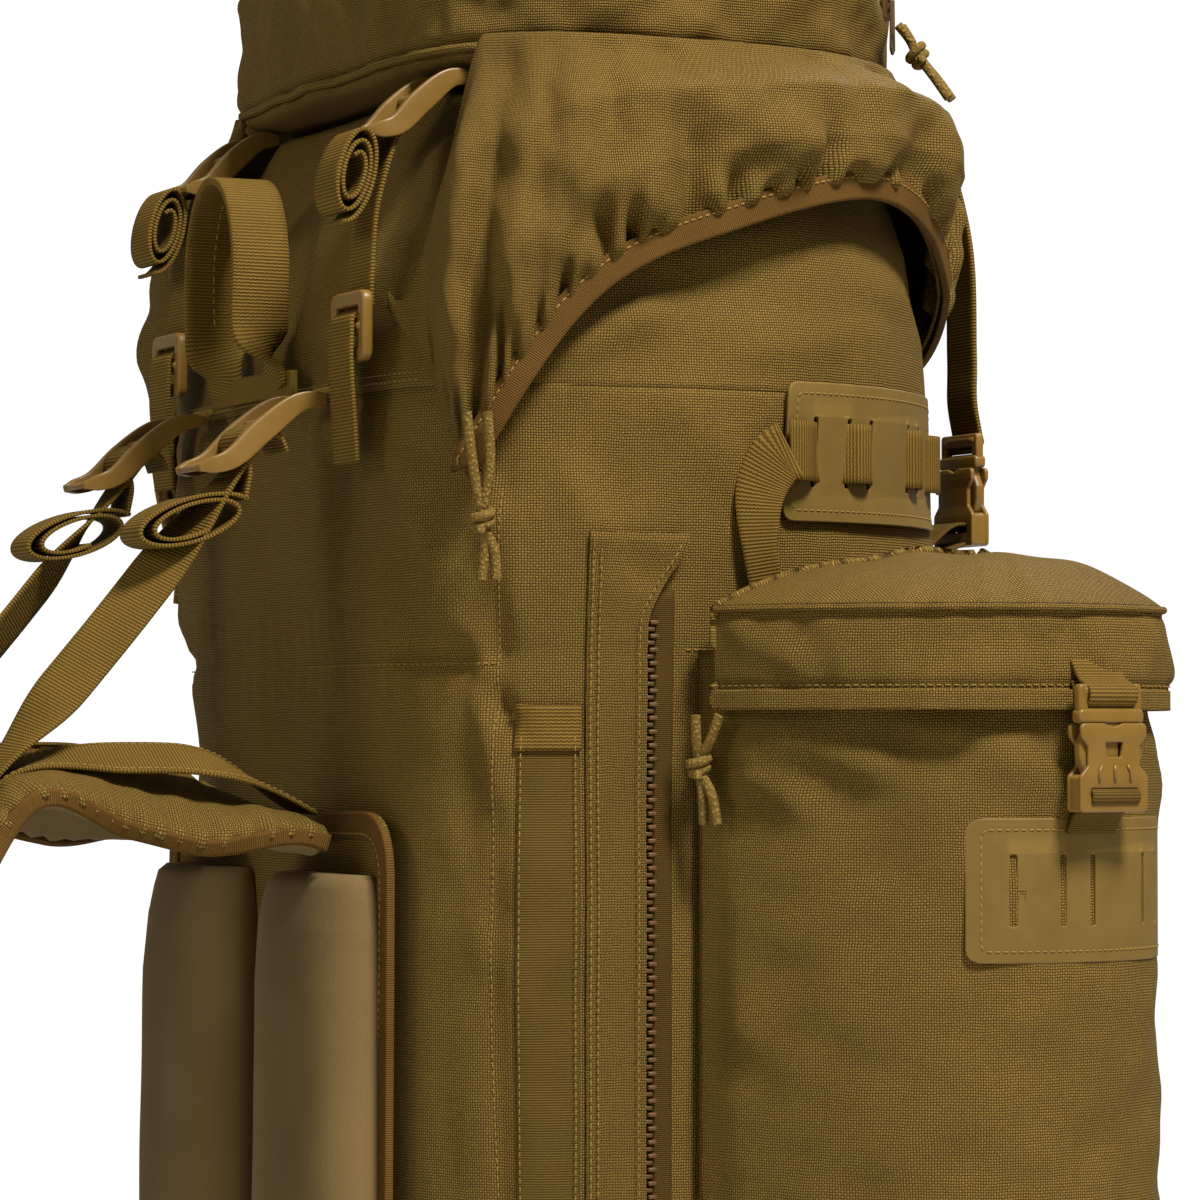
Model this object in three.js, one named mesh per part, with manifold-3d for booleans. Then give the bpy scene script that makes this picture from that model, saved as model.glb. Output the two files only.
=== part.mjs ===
// A large framed hunting backpack: hollow main bag with a collar and a hinged lid, two zip-on side
// pouches with their own lids, a padded back with an internal frame, shoulder straps and a hip belt.
// Millimetres. +Z is up, +Y faces the wearer, the wearer's left is -X. Left pieces are mirrored in X.
import * as THREE from "three";
import { mergeVertices } from "three/addons/utils/BufferGeometryUtils.js";
import Module from "manifold-3d";

const wasm = await Module();
wasm.setup();

// ---------------------------------------------------------------- driving dimensions
const DEG = Math.PI / 180;
const GAP = 0.35; // air kept between touching pieces
const CLOTH = 3; // coated cloth with its lining and seams
const WEBBING = { width: 25, thick: 1.8 };
const BACK_POWER = 4; // squareness of the bag's outline on the wearer's side
const RING = 40; // points round a bag outline

// Half width, depth to the back, depth to the front and squareness of the front at each height.
// The cloth slumps at its front corners above the side pouches, so the outline is rounder there.
const BAG = [
  { z: 0, side: 152, back: 96, front: 118, square: 3 },
  { z: 10, side: 167, back: 110, front: 134, square: 3 },
  { z: 40, side: 179, back: 120, front: 150, square: 3 },
  { z: 470, side: 179, back: 120, front: 150, square: 3 },
  { z: 545, side: 182, back: 123, front: 151, square: 2.9 },
  { z: 600, side: 184, back: 125, front: 148, square: 2.35 },
  { z: 640, side: 188, back: 127, front: 148, square: 2.3 },
];
const COLLAR = [
  { z: 640 + GAP, side: 188, back: 127, front: 148, square: 2.3 },
  { z: 668, side: 187, back: 125, front: 148, square: 2.3 },
  { z: 705, side: 178, back: 115, front: 143, square: 2.3 },
  { z: 738, side: 162, back: 101, front: 132, square: 2.3 },
  { z: 766, side: 142, back: 86, front: 115, square: 2.3 },
];
const LID = [
  { z: 772, side: 140, back: 88, front: 118, square: 2.4 },
  { z: 781, side: 158, back: 103, front: 134, square: 2.4 },
  { z: 832, side: 158, back: 105, front: 136, square: 2.4 },
  { z: 850, side: 140, back: 92, front: 122, square: 2.4 },
  { z: 861, side: 100, back: 62, front: 86, square: 2.4 },
];
const HOOD = { start: 143, corner: 150, thick: 3.5, top: 783, clear: 4.5 };
const SIDE_ANGLE = 205.7 * DEG; // direction in which a side pouch and its patches face
const POUCH = { half: 94, proud: 112, power: 2.7, floor: 75, rim: 536, points: 13 };
const POUCH_LID = { skirt: 513, seam: 552, crown: 574 };
const PATCH = { width: 128, height: 55, thick: 2, slotWidth: 3.2, slotHeight: 29 };
const BACK_PANEL = { half: 125, low: 18, high: 470, y: 120.4, thick: 3 };
const HARNESS = { width: 64, thick: 17, roll: 27 * DEG };
const LEVER_LOCK = { length: 62, width: 33, plate: 3.2 };
const SIDE_BUCKLE = { width: 33, length: 48, thick: 9 };

// ---------------------------------------------------------------- colours
const COLOURS = {
  cordura: [0x6b5523, 0.85],
  foam: [0x73602f, 0.95],
  webbing: [0x715424, 0.8],
  plastic: [0x80601c, 0.45],
  patch: [0x75602a, 0.6],
  cord: [0x8d6f35, 0.75],
  zip: [0x5e4618, 0.55],
  board: [0x2a2b2c, 0.6],
};
const MATERIALS = Object.fromEntries(
  Object.entries(COLOURS).map(([name, [color, roughness]]) => [
    name,
    new THREE.MeshStandardMaterial({ name, color, roughness, metalness: 0 }),
  ]),
);

// ---------------------------------------------------------------- solids
const v3 = (x, y, z) => new THREE.Vector3(x, y, z);
const backpack = new THREE.Group();

function solidOf(geometry) {
  const bare = geometry.index ? geometry.toNonIndexed() : geometry.clone();
  for (const name of Object.keys(bare.attributes)) {
    if (name !== "position") bare.deleteAttribute(name);
  }
  const merged = mergeVertices(bare, 1e-3);
  return new wasm.Manifold(
    new wasm.Mesh({
      numProp: 3,
      vertProperties: merged.attributes.position.array,
      triVerts: new Uint32Array(merged.index.array),
    }),
  );
}

function geometryOf(solid) {
  const mesh = solid.getMesh();
  const points = new Float32Array(mesh.numVert * 3);
  for (let i = 0; i < mesh.numVert; i++) {
    points.set(mesh.vertProperties.subarray(i * mesh.numProp, i * mesh.numProp + 3), i * 3);
  }
  return new THREE.BufferGeometry()
    .setAttribute("position", new THREE.BufferAttribute(points, 3))
    .setIndex(new THREE.BufferAttribute(mesh.triVerts, 1));
}

const join = (...parts) => geometryOf(parts.map(solidOf).reduce((a, b) => a.add(b)));
const cut = (body, ...tools) =>
  geometryOf(tools.map(solidOf).reduce((a, b) => a.subtract(b), solidOf(body)));

function box(low, high) {
  const size = high.map((value, i) => value - low[i]);
  const middle = high.map((value, i) => (value + low[i]) / 2);
  return new THREE.BoxGeometry(...size).translate(...middle);
}

// A closed surface through rings of equal point counts. With loop it closes on itself like a tube
// bent into a ring; otherwise each end is closed by a fan.
function loft(rings, loop = false) {
  const count = rings[0].length;
  const points = rings.flat();
  const faces = [];
  const last = loop ? rings.length : rings.length - 1;
  for (let i = 0; i < last; i++) {
    const a = i * count;
    const b = ((i + 1) % rings.length) * count;
    for (let j = 0; j < count; j++) {
      const k = (j + 1) % count;
      faces.push(a + j, a + k, b + k, a + j, b + k, b + j);
    }
  }
  if (!loop) {
    for (const [ring, start, flip] of [
      [rings[0], 0, true],
      [rings[rings.length - 1], (rings.length - 1) * count, false],
    ]) {
      const centre = ring.reduce((sum, p) => sum.add(p), v3(0, 0, 0)).divideScalar(count);
      points.push(centre);
      for (let j = 0; j < count; j++) {
        const pair = [start + j, start + ((j + 1) % count)];
        if (flip) pair.reverse();
        faces.push(pair[0], pair[1], points.length - 1);
      }
    }
  }
  return closedSurface(points, faces);
}

// The surface with its triangles turned so that all of them face outwards.
function closedSurface(points, faces) {
  const geometry = new THREE.BufferGeometry().setFromPoints(points).setIndex(faces);
  return volumeOf(geometry) < 0 ? geometry.setIndex(faces.toReversed()) : geometry;
}

function volumeOf(geometry) {
  const p = geometry.attributes.position;
  const at = (i) => v3().fromBufferAttribute(p, geometry.index.getX(i));
  let sum = 0;
  for (let i = 0; i < geometry.index.count; i += 3) sum += at(i).dot(at(i + 1).cross(at(i + 2)));
  return sum / 6;
}

// A flat strap, pad or band: a rectangle with eased corners swept along a path. side gives the
// direction of its width, thick its thickness; both may change along the path.
function band(path, width, thick, side, easing = 0.35) {
  const value = (what, t) => (typeof what === "function" ? what(t) : what);
  const rings = path.map((point, i) => {
    const t = i / (path.length - 1);
    const before = path[Math.max(i - 1, 0)];
    const after = path[Math.min(i + 1, path.length - 1)];
    const tangent = after.clone().sub(before).normalize();
    const wide = value(side, t).clone();
    const across = wide.addScaledVector(tangent, -wide.dot(tangent)).normalize();
    const up = across.clone().cross(tangent);
    const w = value(width, t) / 2;
    const h = value(thick, t) / 2;
    const e = easing * h;
    const upper = [[w, h - e], [w - e, h], [e - w, h], [-w, h - e]];
    const lower = upper.map(([a, b]) => [-a, -b]);
    const corner = ([a, b]) => point.clone().addScaledVector(across, a).addScaledVector(up, b);
    return [...upper, ...lower].map(corner);
  });
  return loft(rings);
}

// A sheet of even thickness over a grid of points, grown along outward(row, column).
function sheet(grid, outward, thick) {
  const rows = grid.length;
  const columns = grid[0].length;
  const lifted = (p, i, j) => p.clone().addScaledVector(outward(i, j), thick);
  const outer = grid.map((row, i) => row.map((p, j) => lifted(p, i, j)));
  const points = [...grid.flat(), ...outer.flat()];
  const id = (i, j, layer) => layer * rows * columns + i * columns + j;
  const faces = [];
  const quad = (a, b, c, d) => faces.push(a, b, c, a, c, d);
  for (let i = 0; i + 1 < rows; i++) {
    for (let j = 0; j + 1 < columns; j++) {
      quad(id(i, j, 1), id(i, j + 1, 1), id(i + 1, j + 1, 1), id(i + 1, j, 1));
      quad(id(i, j, 0), id(i + 1, j, 0), id(i + 1, j + 1, 0), id(i, j + 1, 0));
    }
    quad(id(i, 0, 0), id(i, 0, 1), id(i + 1, 0, 1), id(i + 1, 0, 0));
    const end = columns - 1;
    quad(id(i + 1, end, 0), id(i + 1, end, 1), id(i, end, 1), id(i, end, 0));
  }
  for (let j = 0; j + 1 < columns; j++) {
    quad(id(0, j + 1, 0), id(0, j + 1, 1), id(0, j, 1), id(0, j, 0));
    quad(id(rows - 1, j, 0), id(rows - 1, j, 1), id(rows - 1, j + 1, 1), id(rows - 1, j + 1, 0));
  }
  return closedSurface(points, faces);
}

function add(name, geometry, material) {
  const mesh = new THREE.Mesh(geometry, MATERIALS[material]);
  mesh.name = name;
  backpack.add(mesh);
  return mesh;
}

function addPair(name, geometry, material) {
  add(`${name}_left`, geometry, material);
  add(`${name}_right`, geometry, material).scale.x = -1;
}

// ---------------------------------------------------------------- outlines
// The point of a bag outline in a direction from its middle.
function outline(size, angle, grow = 0) {
  const c = Math.cos(angle);
  const s = Math.sin(angle);
  const [depth, power] = s >= 0 ? [size.back, BACK_POWER] : [size.front, size.square];
  const radius = (Math.abs(c / size.side) ** power + Math.abs(s / depth) ** power) ** (-1 / power);
  return [(radius + grow) * c, (radius + grow) * s];
}

// The bag's size at a height, between the rows of a profile.
function sizeAt(profile, z) {
  const above = Math.max(1, profile.findIndex((row) => row.z >= z));
  const [a, b] = [profile[above - 1], profile[above]];
  const t = THREE.MathUtils.clamp((z - a.z) / (b.z - a.z), 0, 1);
  const mix = (key) => a[key] + t * (b[key] - a[key]);
  return { z, side: mix("side"), back: mix("back"), front: mix("front"), square: mix("square") };
}

const BODY = [...BAG, ...COLLAR.slice(1)];

// A point on the bag's surface, lifted off it by off, and the outward direction there.
function onBody(angle, z, off = 0) {
  const size = sizeAt(BODY, z);
  const [x, y] = outline(size, angle);
  const [x1, y1] = outline(size, angle + 0.002);
  const [x0, y0] = outline(size, angle - 0.002);
  const normal = v3(y1 - y0, x0 - x1, 0).normalize();
  return { point: v3(x, y, z).addScaledVector(normal, off), normal };
}

function ring(size, inset = 0, z = size.z) {
  return Array.from({ length: RING }, (_, i) => {
    const [x, y] = outline(size, (i / RING) * 2 * Math.PI, -inset);
    return v3(x, y, z);
  });
}

// ---------------------------------------------------------------- main bag, collar and lid
function mainBag() {
  const floor = 4;
  const outside = BAG.map((size) => ring(size, 0, Math.min(size.z, 640 - GAP)));
  const inside = BAG.slice(1).reverse().map((size) => ring(size, CLOTH, Math.min(size.z, 640 - GAP)));
  inside.push(ring(sizeAt(BAG, floor), CLOTH, floor));
  return loft([...outside, ...inside]);
}

function snowCollar() {
  const inside = [...COLLAR].reverse().map((size) => ring(size, CLOTH));
  return loft([...COLLAR.map((size) => ring(size)), ...inside], true);
}

function lidPocket() {
  return loft(LID.map((size) => ring(size)));
}

// Height of the hood's lower edge at an angle round the bag, left side.
const HOOD_EDGE = [
  [HOOD.start, 652],
  [HOOD.corner, 611],
  [162, 676],
  [180, 706],
  [200, 722],
  [216, 712],
  [230, 688],
  [250, 664],
  [270, 658],
];

function hoodEdge(degrees) {
  const angle = degrees > 270 ? 540 - degrees : degrees;
  const next = Math.max(1, HOOD_EDGE.findIndex((row) => row[0] >= angle));
  const [[a0, z0], [a1, z1]] = [HOOD_EDGE[next - 1], HOOD_EDGE[next]];
  return THREE.MathUtils.lerp(z0, z1, (angle - a0) / (a1 - a0));
}

function lidHood() {
  const rear = [143, 146.5, 150, 154, 158, 164, 170, 177];
  const front = [184, 192, 200, 208, 216, 223, 230, 238, 246, 254, 262, 270];
  const half = [...rear, ...front];
  const angles = [...half, ...half.slice(0, -1).reverse().map((a) => 540 - a)];
  const steps = [0, 0.3, 0.62, 1];
  const swell = [0, 13, 14, 2];
  const grid = steps.map((t, i) =>
    angles.map((degrees) => {
      const z = THREE.MathUtils.lerp(HOOD.top, hoodEdge(degrees), t);
      const size = i === 0 ? sizeAt(LID, HOOD.top) : sizeAt(BODY, Math.min(z, 668));
      const reach = i === 0 ? 1.2 : HOOD.clear + swell[i] - (z > 690 ? (z - 690) * 0.18 : 0);
      const [x, y] = outline(size, degrees * DEG, reach);
      return v3(x, y, z);
    }),
  );
  const outward = (i, j) => v3(Math.cos(angles[j] * DEG), Math.sin(angles[j] * DEG), 0);
  return sheet(grid, outward, HOOD.thick);
}

// ---------------------------------------------------------------- side pouch
const POUCH_BASE = outline(sizeAt(BAG, 300), SIDE_ANGLE);
const OUTWARD = v3(-0.927, -0.374, 0).normalize();
const FORWARD = v3(-OUTWARD.y, OUTWARD.x, 0); // along the bag towards its front, square to OUTWARD
const pouchPoint = (along, out, z) =>
  v3(POUCH_BASE[0], POUCH_BASE[1], z).addScaledVector(FORWARD, along).addScaledVector(OUTWARD, out);

// How far out the bag's surface lies from the pouch's base line, a distance along it.
function bagOut(along) {
  let best = -1e9;
  for (let degrees = 160; degrees < 255; degrees += 0.5) {
    const [x, y] = outline(sizeAt(BAG, 300), degrees * DEG);
    const at = v3(x - POUCH_BASE[0], y - POUCH_BASE[1], 0);
    if (Math.abs(at.dot(FORWARD) - along) < 1.2) best = Math.max(best, at.dot(OUTWARD));
  }
  return best;
}

// A pouch outline grown by grow, its back following the bag at clear from it.
function pouchRing(z, grow = 0, clear = 5, scale = 1) {
  const half = POUCH.half * scale + grow;
  const front = [];
  const back = [];
  for (let i = 0; i < POUCH.points; i++) {
    const along = -half * Math.cos((i / (POUCH.points - 1)) * Math.PI);
    const base = bagOut(along) + clear;
    const swell = (1 - Math.abs(along / half) ** POUCH.power) ** (1 / POUCH.power);
    front.push(pouchPoint(along, base + 1.5 + (POUCH.proud * scale + grow - clear) * swell, z));
    if (i > 0 && i < POUCH.points - 1) back.unshift(pouchPoint(along, base, z));
  }
  return [...front, ...back];
}

function sidePouch() {
  const { floor, rim } = POUCH;
  const clear = 5;
  const swept = 18; // height over which the bottom edge curves in
  const taper = 0.9;
  const inner = (z, scale) => pouchRing(z, -CLOTH, clear + CLOTH, scale);
  const outside = [pouchRing(floor, 0, clear, taper), pouchRing(floor + swept), pouchRing(rim)];
  return loft([...outside, inner(rim), inner(floor + swept), inner(floor + 4, taper)]);
}

function pouchLid() {
  const { skirt, seam, crown } = POUCH_LID;
  const cap = loft([pouchRing(skirt, 6.5), pouchRing(seam, 6.5), pouchRing(crown, 0, 16, 0.74)]);
  const hollow = loft([pouchRing(skirt - 5, 3.2, -8), pouchRing(seam - 4, 3.2, -8)]);
  const back = box([-130, -90, skirt - 9], [130, -8, crown + 9]);
  const behind = face(back, { point: pouchPoint(0, 0, 0), normal: OUTWARD });
  return cut(cap, hollow, behind);
}

// A lashing patch: a plate with six slots in a row, bent over the surface point(along, up).
const SLOTS = [-0.389, -0.24, -0.13, 0.13, 0.24, 0.389].map((share) => share * PATCH.width);
function lashingPatch(place) {
  const columns = 15;
  const at = (j) => (j / (columns - 1) - 0.5) * PATCH.width;
  const row = (up) => Array.from({ length: columns }, (_, j) => place(at(j), up).point);
  const grid = [row(-0.5 * PATCH.height), row(0.5 * PATCH.height)];
  const plate = sheet(grid, (_, j) => place(at(j), 0).normal, PATCH.thick);
  const tools = SLOTS.map((along) => {
    const { point, normal } = place(along, 0);
    const slot = new THREE.BoxGeometry(PATCH.slotWidth, 14, PATCH.slotHeight);
    slot.rotateZ(Math.atan2(normal.y, normal.x) - Math.PI / 2);
    return slot.translate(point.x, point.y, point.z);
  });
  return cut(plate, ...tools);
}

const UPPER_PATCH = { angle: 206 * DEG, z: 616 };
function onBagSide(along, up) {
  const turn = along / 195;
  return onBody(UPPER_PATCH.angle + turn, UPPER_PATCH.z + up, 1.4);
}

const POUCH_PATCH_Z = 442;
function onPouch(along, up, off = 0.6) {
  const spot = (s) => {
    const swell = (1 - Math.abs(s / POUCH.half) ** POUCH.power) ** (1 / POUCH.power);
    return pouchPoint(s, bagOut(s) + 6.5 + (POUCH.proud - 5) * swell, POUCH_PATCH_Z + up);
  };
  const reach = along * 0.94;
  const direction = spot(reach + 1).sub(spot(reach - 1)).normalize();
  const normal = v3(direction.y, -direction.x, 0);
  if (normal.dot(OUTWARD) < 0) normal.negate();
  return { point: spot(reach).addScaledVector(normal, off), normal };
}

// ---------------------------------------------------------------- buckles
// A lever lock: a long S-shaped ladder buckle. Its strap bars run along X; +Y is its free end.
function leverLock(length) {
  const { width, plate } = LEVER_LOCK;
  const bends = [[-0.5, 1], [-0.3, 4], [0, 0], [0.27, -5], [0.5, -3]];
  const spine = new THREE.CatmullRomCurve3(bends.map(([share, z]) => v3(0, share * length, z)));
  const path = spine.getPoints(10);
  const rails = [-1, 1].map((side) => {
    const x = (side * (width - plate)) / 2;
    const depth = (t) => 6 + 4 * Math.sin(Math.PI * t);
    return band(path.map((p) => p.clone().setX(x)), plate, depth, v3(1, 0, 0));
  });
  const bars = [0.08, 0.42, 0.93].map((t) => {
    const p = spine.getPoint(t);
    return box([-width / 2 + 1, p.y - 2.2, p.z - 2], [width / 2 - 1, p.y + 2.2, p.z + 2]);
  });
  return join(...rails, ...bars);
}

// A ladder lock: a small frame with three bars across. Bars along X, height along Z, thickness in Y.
function ladderLock() {
  const frame = box([-16.5, -2.5, -13], [16.5, 2.5, 13]);
  const windows = [[-9.5, -2], [2, 9.5]].map(([low, high]) => box([-13, -6, low], [13, 6, high]));
  return cut(frame, ...windows);
}

// A box from near to far in X and its mirror image; low and high give its Y and Z.
function bothSides(near, far, low, high) {
  return [box([-far, ...low], [-near, ...high]), box([near, ...low], [far, ...high])];
}

// The two halves of a side-release buckle, clipped together along Z, outward face towards +Y.
function buckleFemale() {
  const { width, thick } = SIDE_BUCKLE;
  const floor = box([-width / 2, 0, -24], [width / 2, 2, 9]);
  const rails = bothSides(13.8, 16.5, [0, -24], [thick, 9]);
  const bar = box([-width / 2, 0, -24], [width / 2, 5, -20]);
  return cut(join(floor, ...rails, bar), box([-11, -2, -19], [11, 6, -15]));
}

function buckleMale() {
  const base = box([-15, 2.6, 12], [15, 7.4, 24]);
  const slot = box([-12.5, 0, 15], [12.5, 9, 20]);
  const prongs = bothSides(9, 13, [3, -12], [7, 13]);
  const tongue = box([-3, 3, -8], [3, 7, 13]);
  return cut(join(base, ...prongs, tongue), slot);
}

// A zip's slider bridging its teeth, with a pull hanging from a lug on its face.
function zipSlider() {
  const body = box([-7, 0, -7], [7, 8, 7]);
  const channel = box([-5.5, -1, -10], [5.5, 4.2, 10]);
  const lug = box([-1.5, 7, -2], [1.5, 10, 3]);
  const pull = box([-3, 9, -26], [3, 10.6, 3]);
  return join(cut(body, channel), lug, pull);
}

// Turns a piece made with its outward face towards +Y so that it faces normal, and moves it to point.
function face(geometry, { point, normal }) {
  const turn = Math.atan2(normal.y, normal.x) - Math.PI / 2;
  return geometry.clone().rotateZ(turn).translate(...point);
}

// ---------------------------------------------------------------- back and frame
function roundedPlate(x, low, high, y, thick, r) {
  const shape = new THREE.Shape();
  shape.moveTo(-x + r, low).lineTo(x - r, low).absarc(x - r, low + r, r, -Math.PI / 2, 0, false);
  shape.lineTo(x, high - r).absarc(x - r, high - r, r, 0, Math.PI / 2, false);
  shape.lineTo(-x + r, high).absarc(-x + r, high - r, r, Math.PI / 2, Math.PI, false);
  shape.lineTo(-x, low + r).absarc(-x + r, low + r, r, Math.PI, 1.5 * Math.PI, false);
  const plate = new THREE.ExtrudeGeometry(shape, { depth: thick, bevelEnabled: false, curveSegments: 4 });
  return plate.rotateX(Math.PI / 2).translate(0, y + thick, 0);
}

// Across a pad: shares of its width and of its height over the panel.
const PAD_SECTION = [
  [0, 0], [0, 0.55], [0.07, 0.85], [0.2, 0.98], [0.5, 1], [0.8, 0.98], [0.93, 0.85], [1, 0.55], [1, 0],
];

// A foam pad standing on the back panel. Each row of heights gives its z, how proud it stands there
// and how far its ends draw in.
function backPad(left, right, heights) {
  const base = BACK_PANEL.y + BACK_PANEL.thick + GAP;
  const rings = heights.map(([z, proud, inset]) => {
    const start = left + inset;
    const wide = right - inset - start;
    return PAD_SECTION.map(([s, h]) => v3(start + s * wide, base + h * proud, z));
  });
  return loft(rings);
}

// ---------------------------------------------------------------- harness
// The shoulder pad's middle line, from its root on the back to its lower end.
const SHOULDER = new THREE.CatmullRomCurve3([
  v3(-64, 129.5, 457), v3(-65, 160, 466), v3(-67, 197, 474), v3(-70, 236, 482), v3(-72, 263, 477),
  v3(-74, 281, 455), v3(-76, 293, 425), v3(-79, 302, 390), v3(-82, 307, 350), v3(-85, 308, 300),
  v3(-88, 303, 250), v3(-90, 292, 205), v3(-92, 277, 166),
]);

function shoulderPad() {
  const width = (t) => HARNESS.width - 16 * Math.max(0, t - 0.75) / 0.25;
  // Over the shoulder the pad rolls outwards, its outer edge lower than its inner one.
  const { smoothstep } = THREE.MathUtils;
  const roll = (t) => HARNESS.roll * smoothstep(t, 0.03, 0.14) * (1 - smoothstep(t, 0.2, 0.31));
  const side = (t) => v3(Math.cos(roll(t)), 0, Math.sin(roll(t)));
  const pad = band(SHOULDER.getPoints(26), width, HARNESS.thick, side, 0.6);
  const tab = band([v3(-92, 279, 176), v3(-92.4, 277, 156.5)], WEBBING.width, 3, v3(1, 0, 0));
  return join(pad, tab);
}

const LIFTER = { top: v3(-72, 161, 620), low: v3(-74, 272.7, 484.9) };
function loadLifterStrap() {
  const middle = LIFTER.top.clone().lerp(LIFTER.low, 0.5);
  const path = [LIFTER.top, middle, LIFTER.low];
  const run = band(path, WEBBING.width, WEBBING.thick, v3(1, 0, 0));
  return join(run, rolledTail(27, 11).rotateX(-12 * DEG).translate(-72, 190, 588));
}

// The loose end of a strap rolled up flat: an oval ring across X.
function rolledTail(halfLength, halfHeight) {
  const layers = 4; // thickness of the turns together
  const shape = new THREE.Shape().absellipse(0, 0, halfLength, halfHeight, 0, 2 * Math.PI, false, 0);
  const hole = new THREE.Path();
  hole.absellipse(0, 0, halfLength - layers, halfHeight - layers, 0, 2 * Math.PI, true, 0);
  shape.holes.push(hole);
  const options = { depth: WEBBING.width, bevelEnabled: false, curveSegments: 8 };
  const roll = new THREE.ExtrudeGeometry(shape, options);
  // The oval's long axis comes to lie along Y and its width along X.
  return roll.rotateZ(Math.PI / 2).rotateY(Math.PI / 2).translate(-WEBBING.width / 2, 0, 0);
}

const LOWER_STRAP = [
  v3(-93, 246.8, 142), v3(-95, 238, 139), v3(-113, 200, 133), v3(-135, 148, 130), v3(-143.8, 112.6, 129),
];

// ---------------------------------------------------------------- hip belt
const WING = new THREE.CatmullRomCurve3([
  v3(-104, 132.5, 60), v3(-132, 158, 60), v3(-156, 205, 60), v3(-163, 258, 60), v3(-150, 306, 60),
]);
function hipWing() {
  const height = (t) => 88 - 36 * t * t;
  return band(WING.getPoints(12), height, 15, v3(0, 0, 1), 0.6);
}

const HIP_WEB = [
  v3(-156, 294, 60), v3(-150, 309, 60), v3(-136, 330, 60), v3(-108, 349, 60), v3(-81, 353.5, 60),
];

// ---------------------------------------------------------------- haul loop
function haulLoop() {
  const y = 141;
  const path = new THREE.CatmullRomCurve3([
    v3(-20, y, 652), v3(-27, y, 672), v3(-28, y, 705), v3(-18, y, 728), v3(0, y, 736),
    v3(18, y, 728), v3(28, y, 705), v3(27, y, 672), v3(20, y, 652),
  ]);
  const arch = band(path.getPoints(20), 26, 3.6, v3(0, 1, 0));
  return join(arch, box([-48, 130.5, 643], [48, 141, 655]));
}

// ---------------------------------------------------------------- cords
// A short doubled cord: two strands leave the cloth, meet in a knot and end in two cut tails.
const CORD = 4;
function tube(points) {
  const curve = new THREE.CatmullRomCurve3(points);
  const section = new THREE.Shape().absarc(0, 0, CORD / 2, 0, 2 * Math.PI, false);
  const options = { extrudePath: curve, steps: 10, curveSegments: 4, bevelEnabled: false };
  return new THREE.ExtrudeGeometry(section, options);
}

function doubledCord(strands, knot) {
  return join(...strands.map(tube), new THREE.IcosahedronGeometry(6.5, 1).translate(...knot));
}

// ---------------------------------------------------------------- the bag and its frame
add("main_bag", mainBag(), "cordura");
add("snow_collar", snowCollar(), "cordura");
add("frame_sheet", box([-108, 107, 45], [108, 109.5, 600]), "board");
add("lid_pocket", lidPocket(), "cordura");
add("lid_hood", lidHood(), "cordura");
add("haul_loop", haulLoop(), "webbing");

const PANEL_FACE = BACK_PANEL.y + BACK_PANEL.thick;
add(
  "back_panel",
  roundedPlate(BACK_PANEL.half, BACK_PANEL.low, BACK_PANEL.high, BACK_PANEL.y, BACK_PANEL.thick, 22),
  "cordura",
);
const PAD_PROFILE = [
  [112, 14, 16], [118, 22, 6], [140, 25, 0], [300, 26, 0], [420, 22, 0], [438, 19, 5], [443, 12, 14],
];
addPair("back_pad", backPad(-120, -19, PAD_PROFILE), "foam");
const LUMBAR_PROFILE = [[24, 14, 20], [30, 24, 8], [50, 28, 0], [88, 28, 0], [100, 24, 8], [104, 14, 20]];
add("lumbar_pad", backPad(-92, 92, LUMBAR_PROFILE), "foam");

// ---------------------------------------------------------------- the lid's straps at the back
const LID_LOCK = v3(-108, 132, 666);
const LID_LEVER = v3(-108, 108, 757);
addPair("lid_ladder_lock", ladderLock().translate(...LID_LOCK), "plastic");
// The strap comes down behind the lock, out through its upper window and hangs in front of it.
const lidStrapPath = [
  [-17, 83], [-7, 50], [-4.4, 22], [-4.1, 13], [-3.9, 8.5],
  [0, 5.8], [3.9, 3.4], [4.4, -2], [4.6, -16], [2, -55],
].map(([out, up]) => LID_LOCK.clone().add(v3(0, out, up)));
addPair("lid_strap", band(lidStrapPath, WEBBING.width, WEBBING.thick, v3(1, 0, 0)), "webbing");
addPair("lid_lever", leverLock(50).rotateX(-24 * DEG).translate(...LID_LEVER), "plastic");

// ---------------------------------------------------------------- shoulder harness
addPair("shoulder_strap", shoulderPad(), "foam");
const lifterLever = leverLock(LEVER_LOCK.length).rotateX(-25 * DEG).translate(-72, 162, 625);
addPair("lifter_lever", lifterLever, "plastic");
addPair("lifter_strap", loadLifterStrap(), "webbing");
addPair("shoulder_anchor", ladderLock().rotateX(39 * DEG).translate(-74, 282.1, 474.4), "plastic");
addPair("shoulder_lock", ladderLock().rotateX(-68 * DEG).translate(-92.5, 262, 148), "plastic");
addPair("lower_strap", band(LOWER_STRAP, WEBBING.width, WEBBING.thick, v3(1, 0.35, 0)), "webbing");

// ---------------------------------------------------------------- hip belt, shown unbuckled
const wing = join(hipWing(), band(HIP_WEB, 38, 2.2, v3(0, 0, 1)));
addPair("hip_wing", wing, "foam");
add("hip_buckle_female", buckleFemale().rotateY(90 * DEG).translate(-56.6, 350, 60), "plastic");
add("hip_buckle_male", buckleMale().rotateY(90 * DEG).translate(56.6, 350, 60), "plastic");

// ---------------------------------------------------------------- fittings sewn to the bag's sides
// A strip of even width standing on the bag's surface between two heights.
function sideStrip({ angle, half, low, high, thick }) {
  const heights = [low, ...BAG.map((size) => size.z).filter((z) => z > low && z < high), high];
  const turns = [-half, 0, half].map((s) => angle + s / 187);
  const grid = heights.map((z) => turns.map((turn) => onBody(turn, z, GAP).point));
  return sheet(grid, (_, j) => onBody(turns[j], 300).normal, thick);
}

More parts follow.
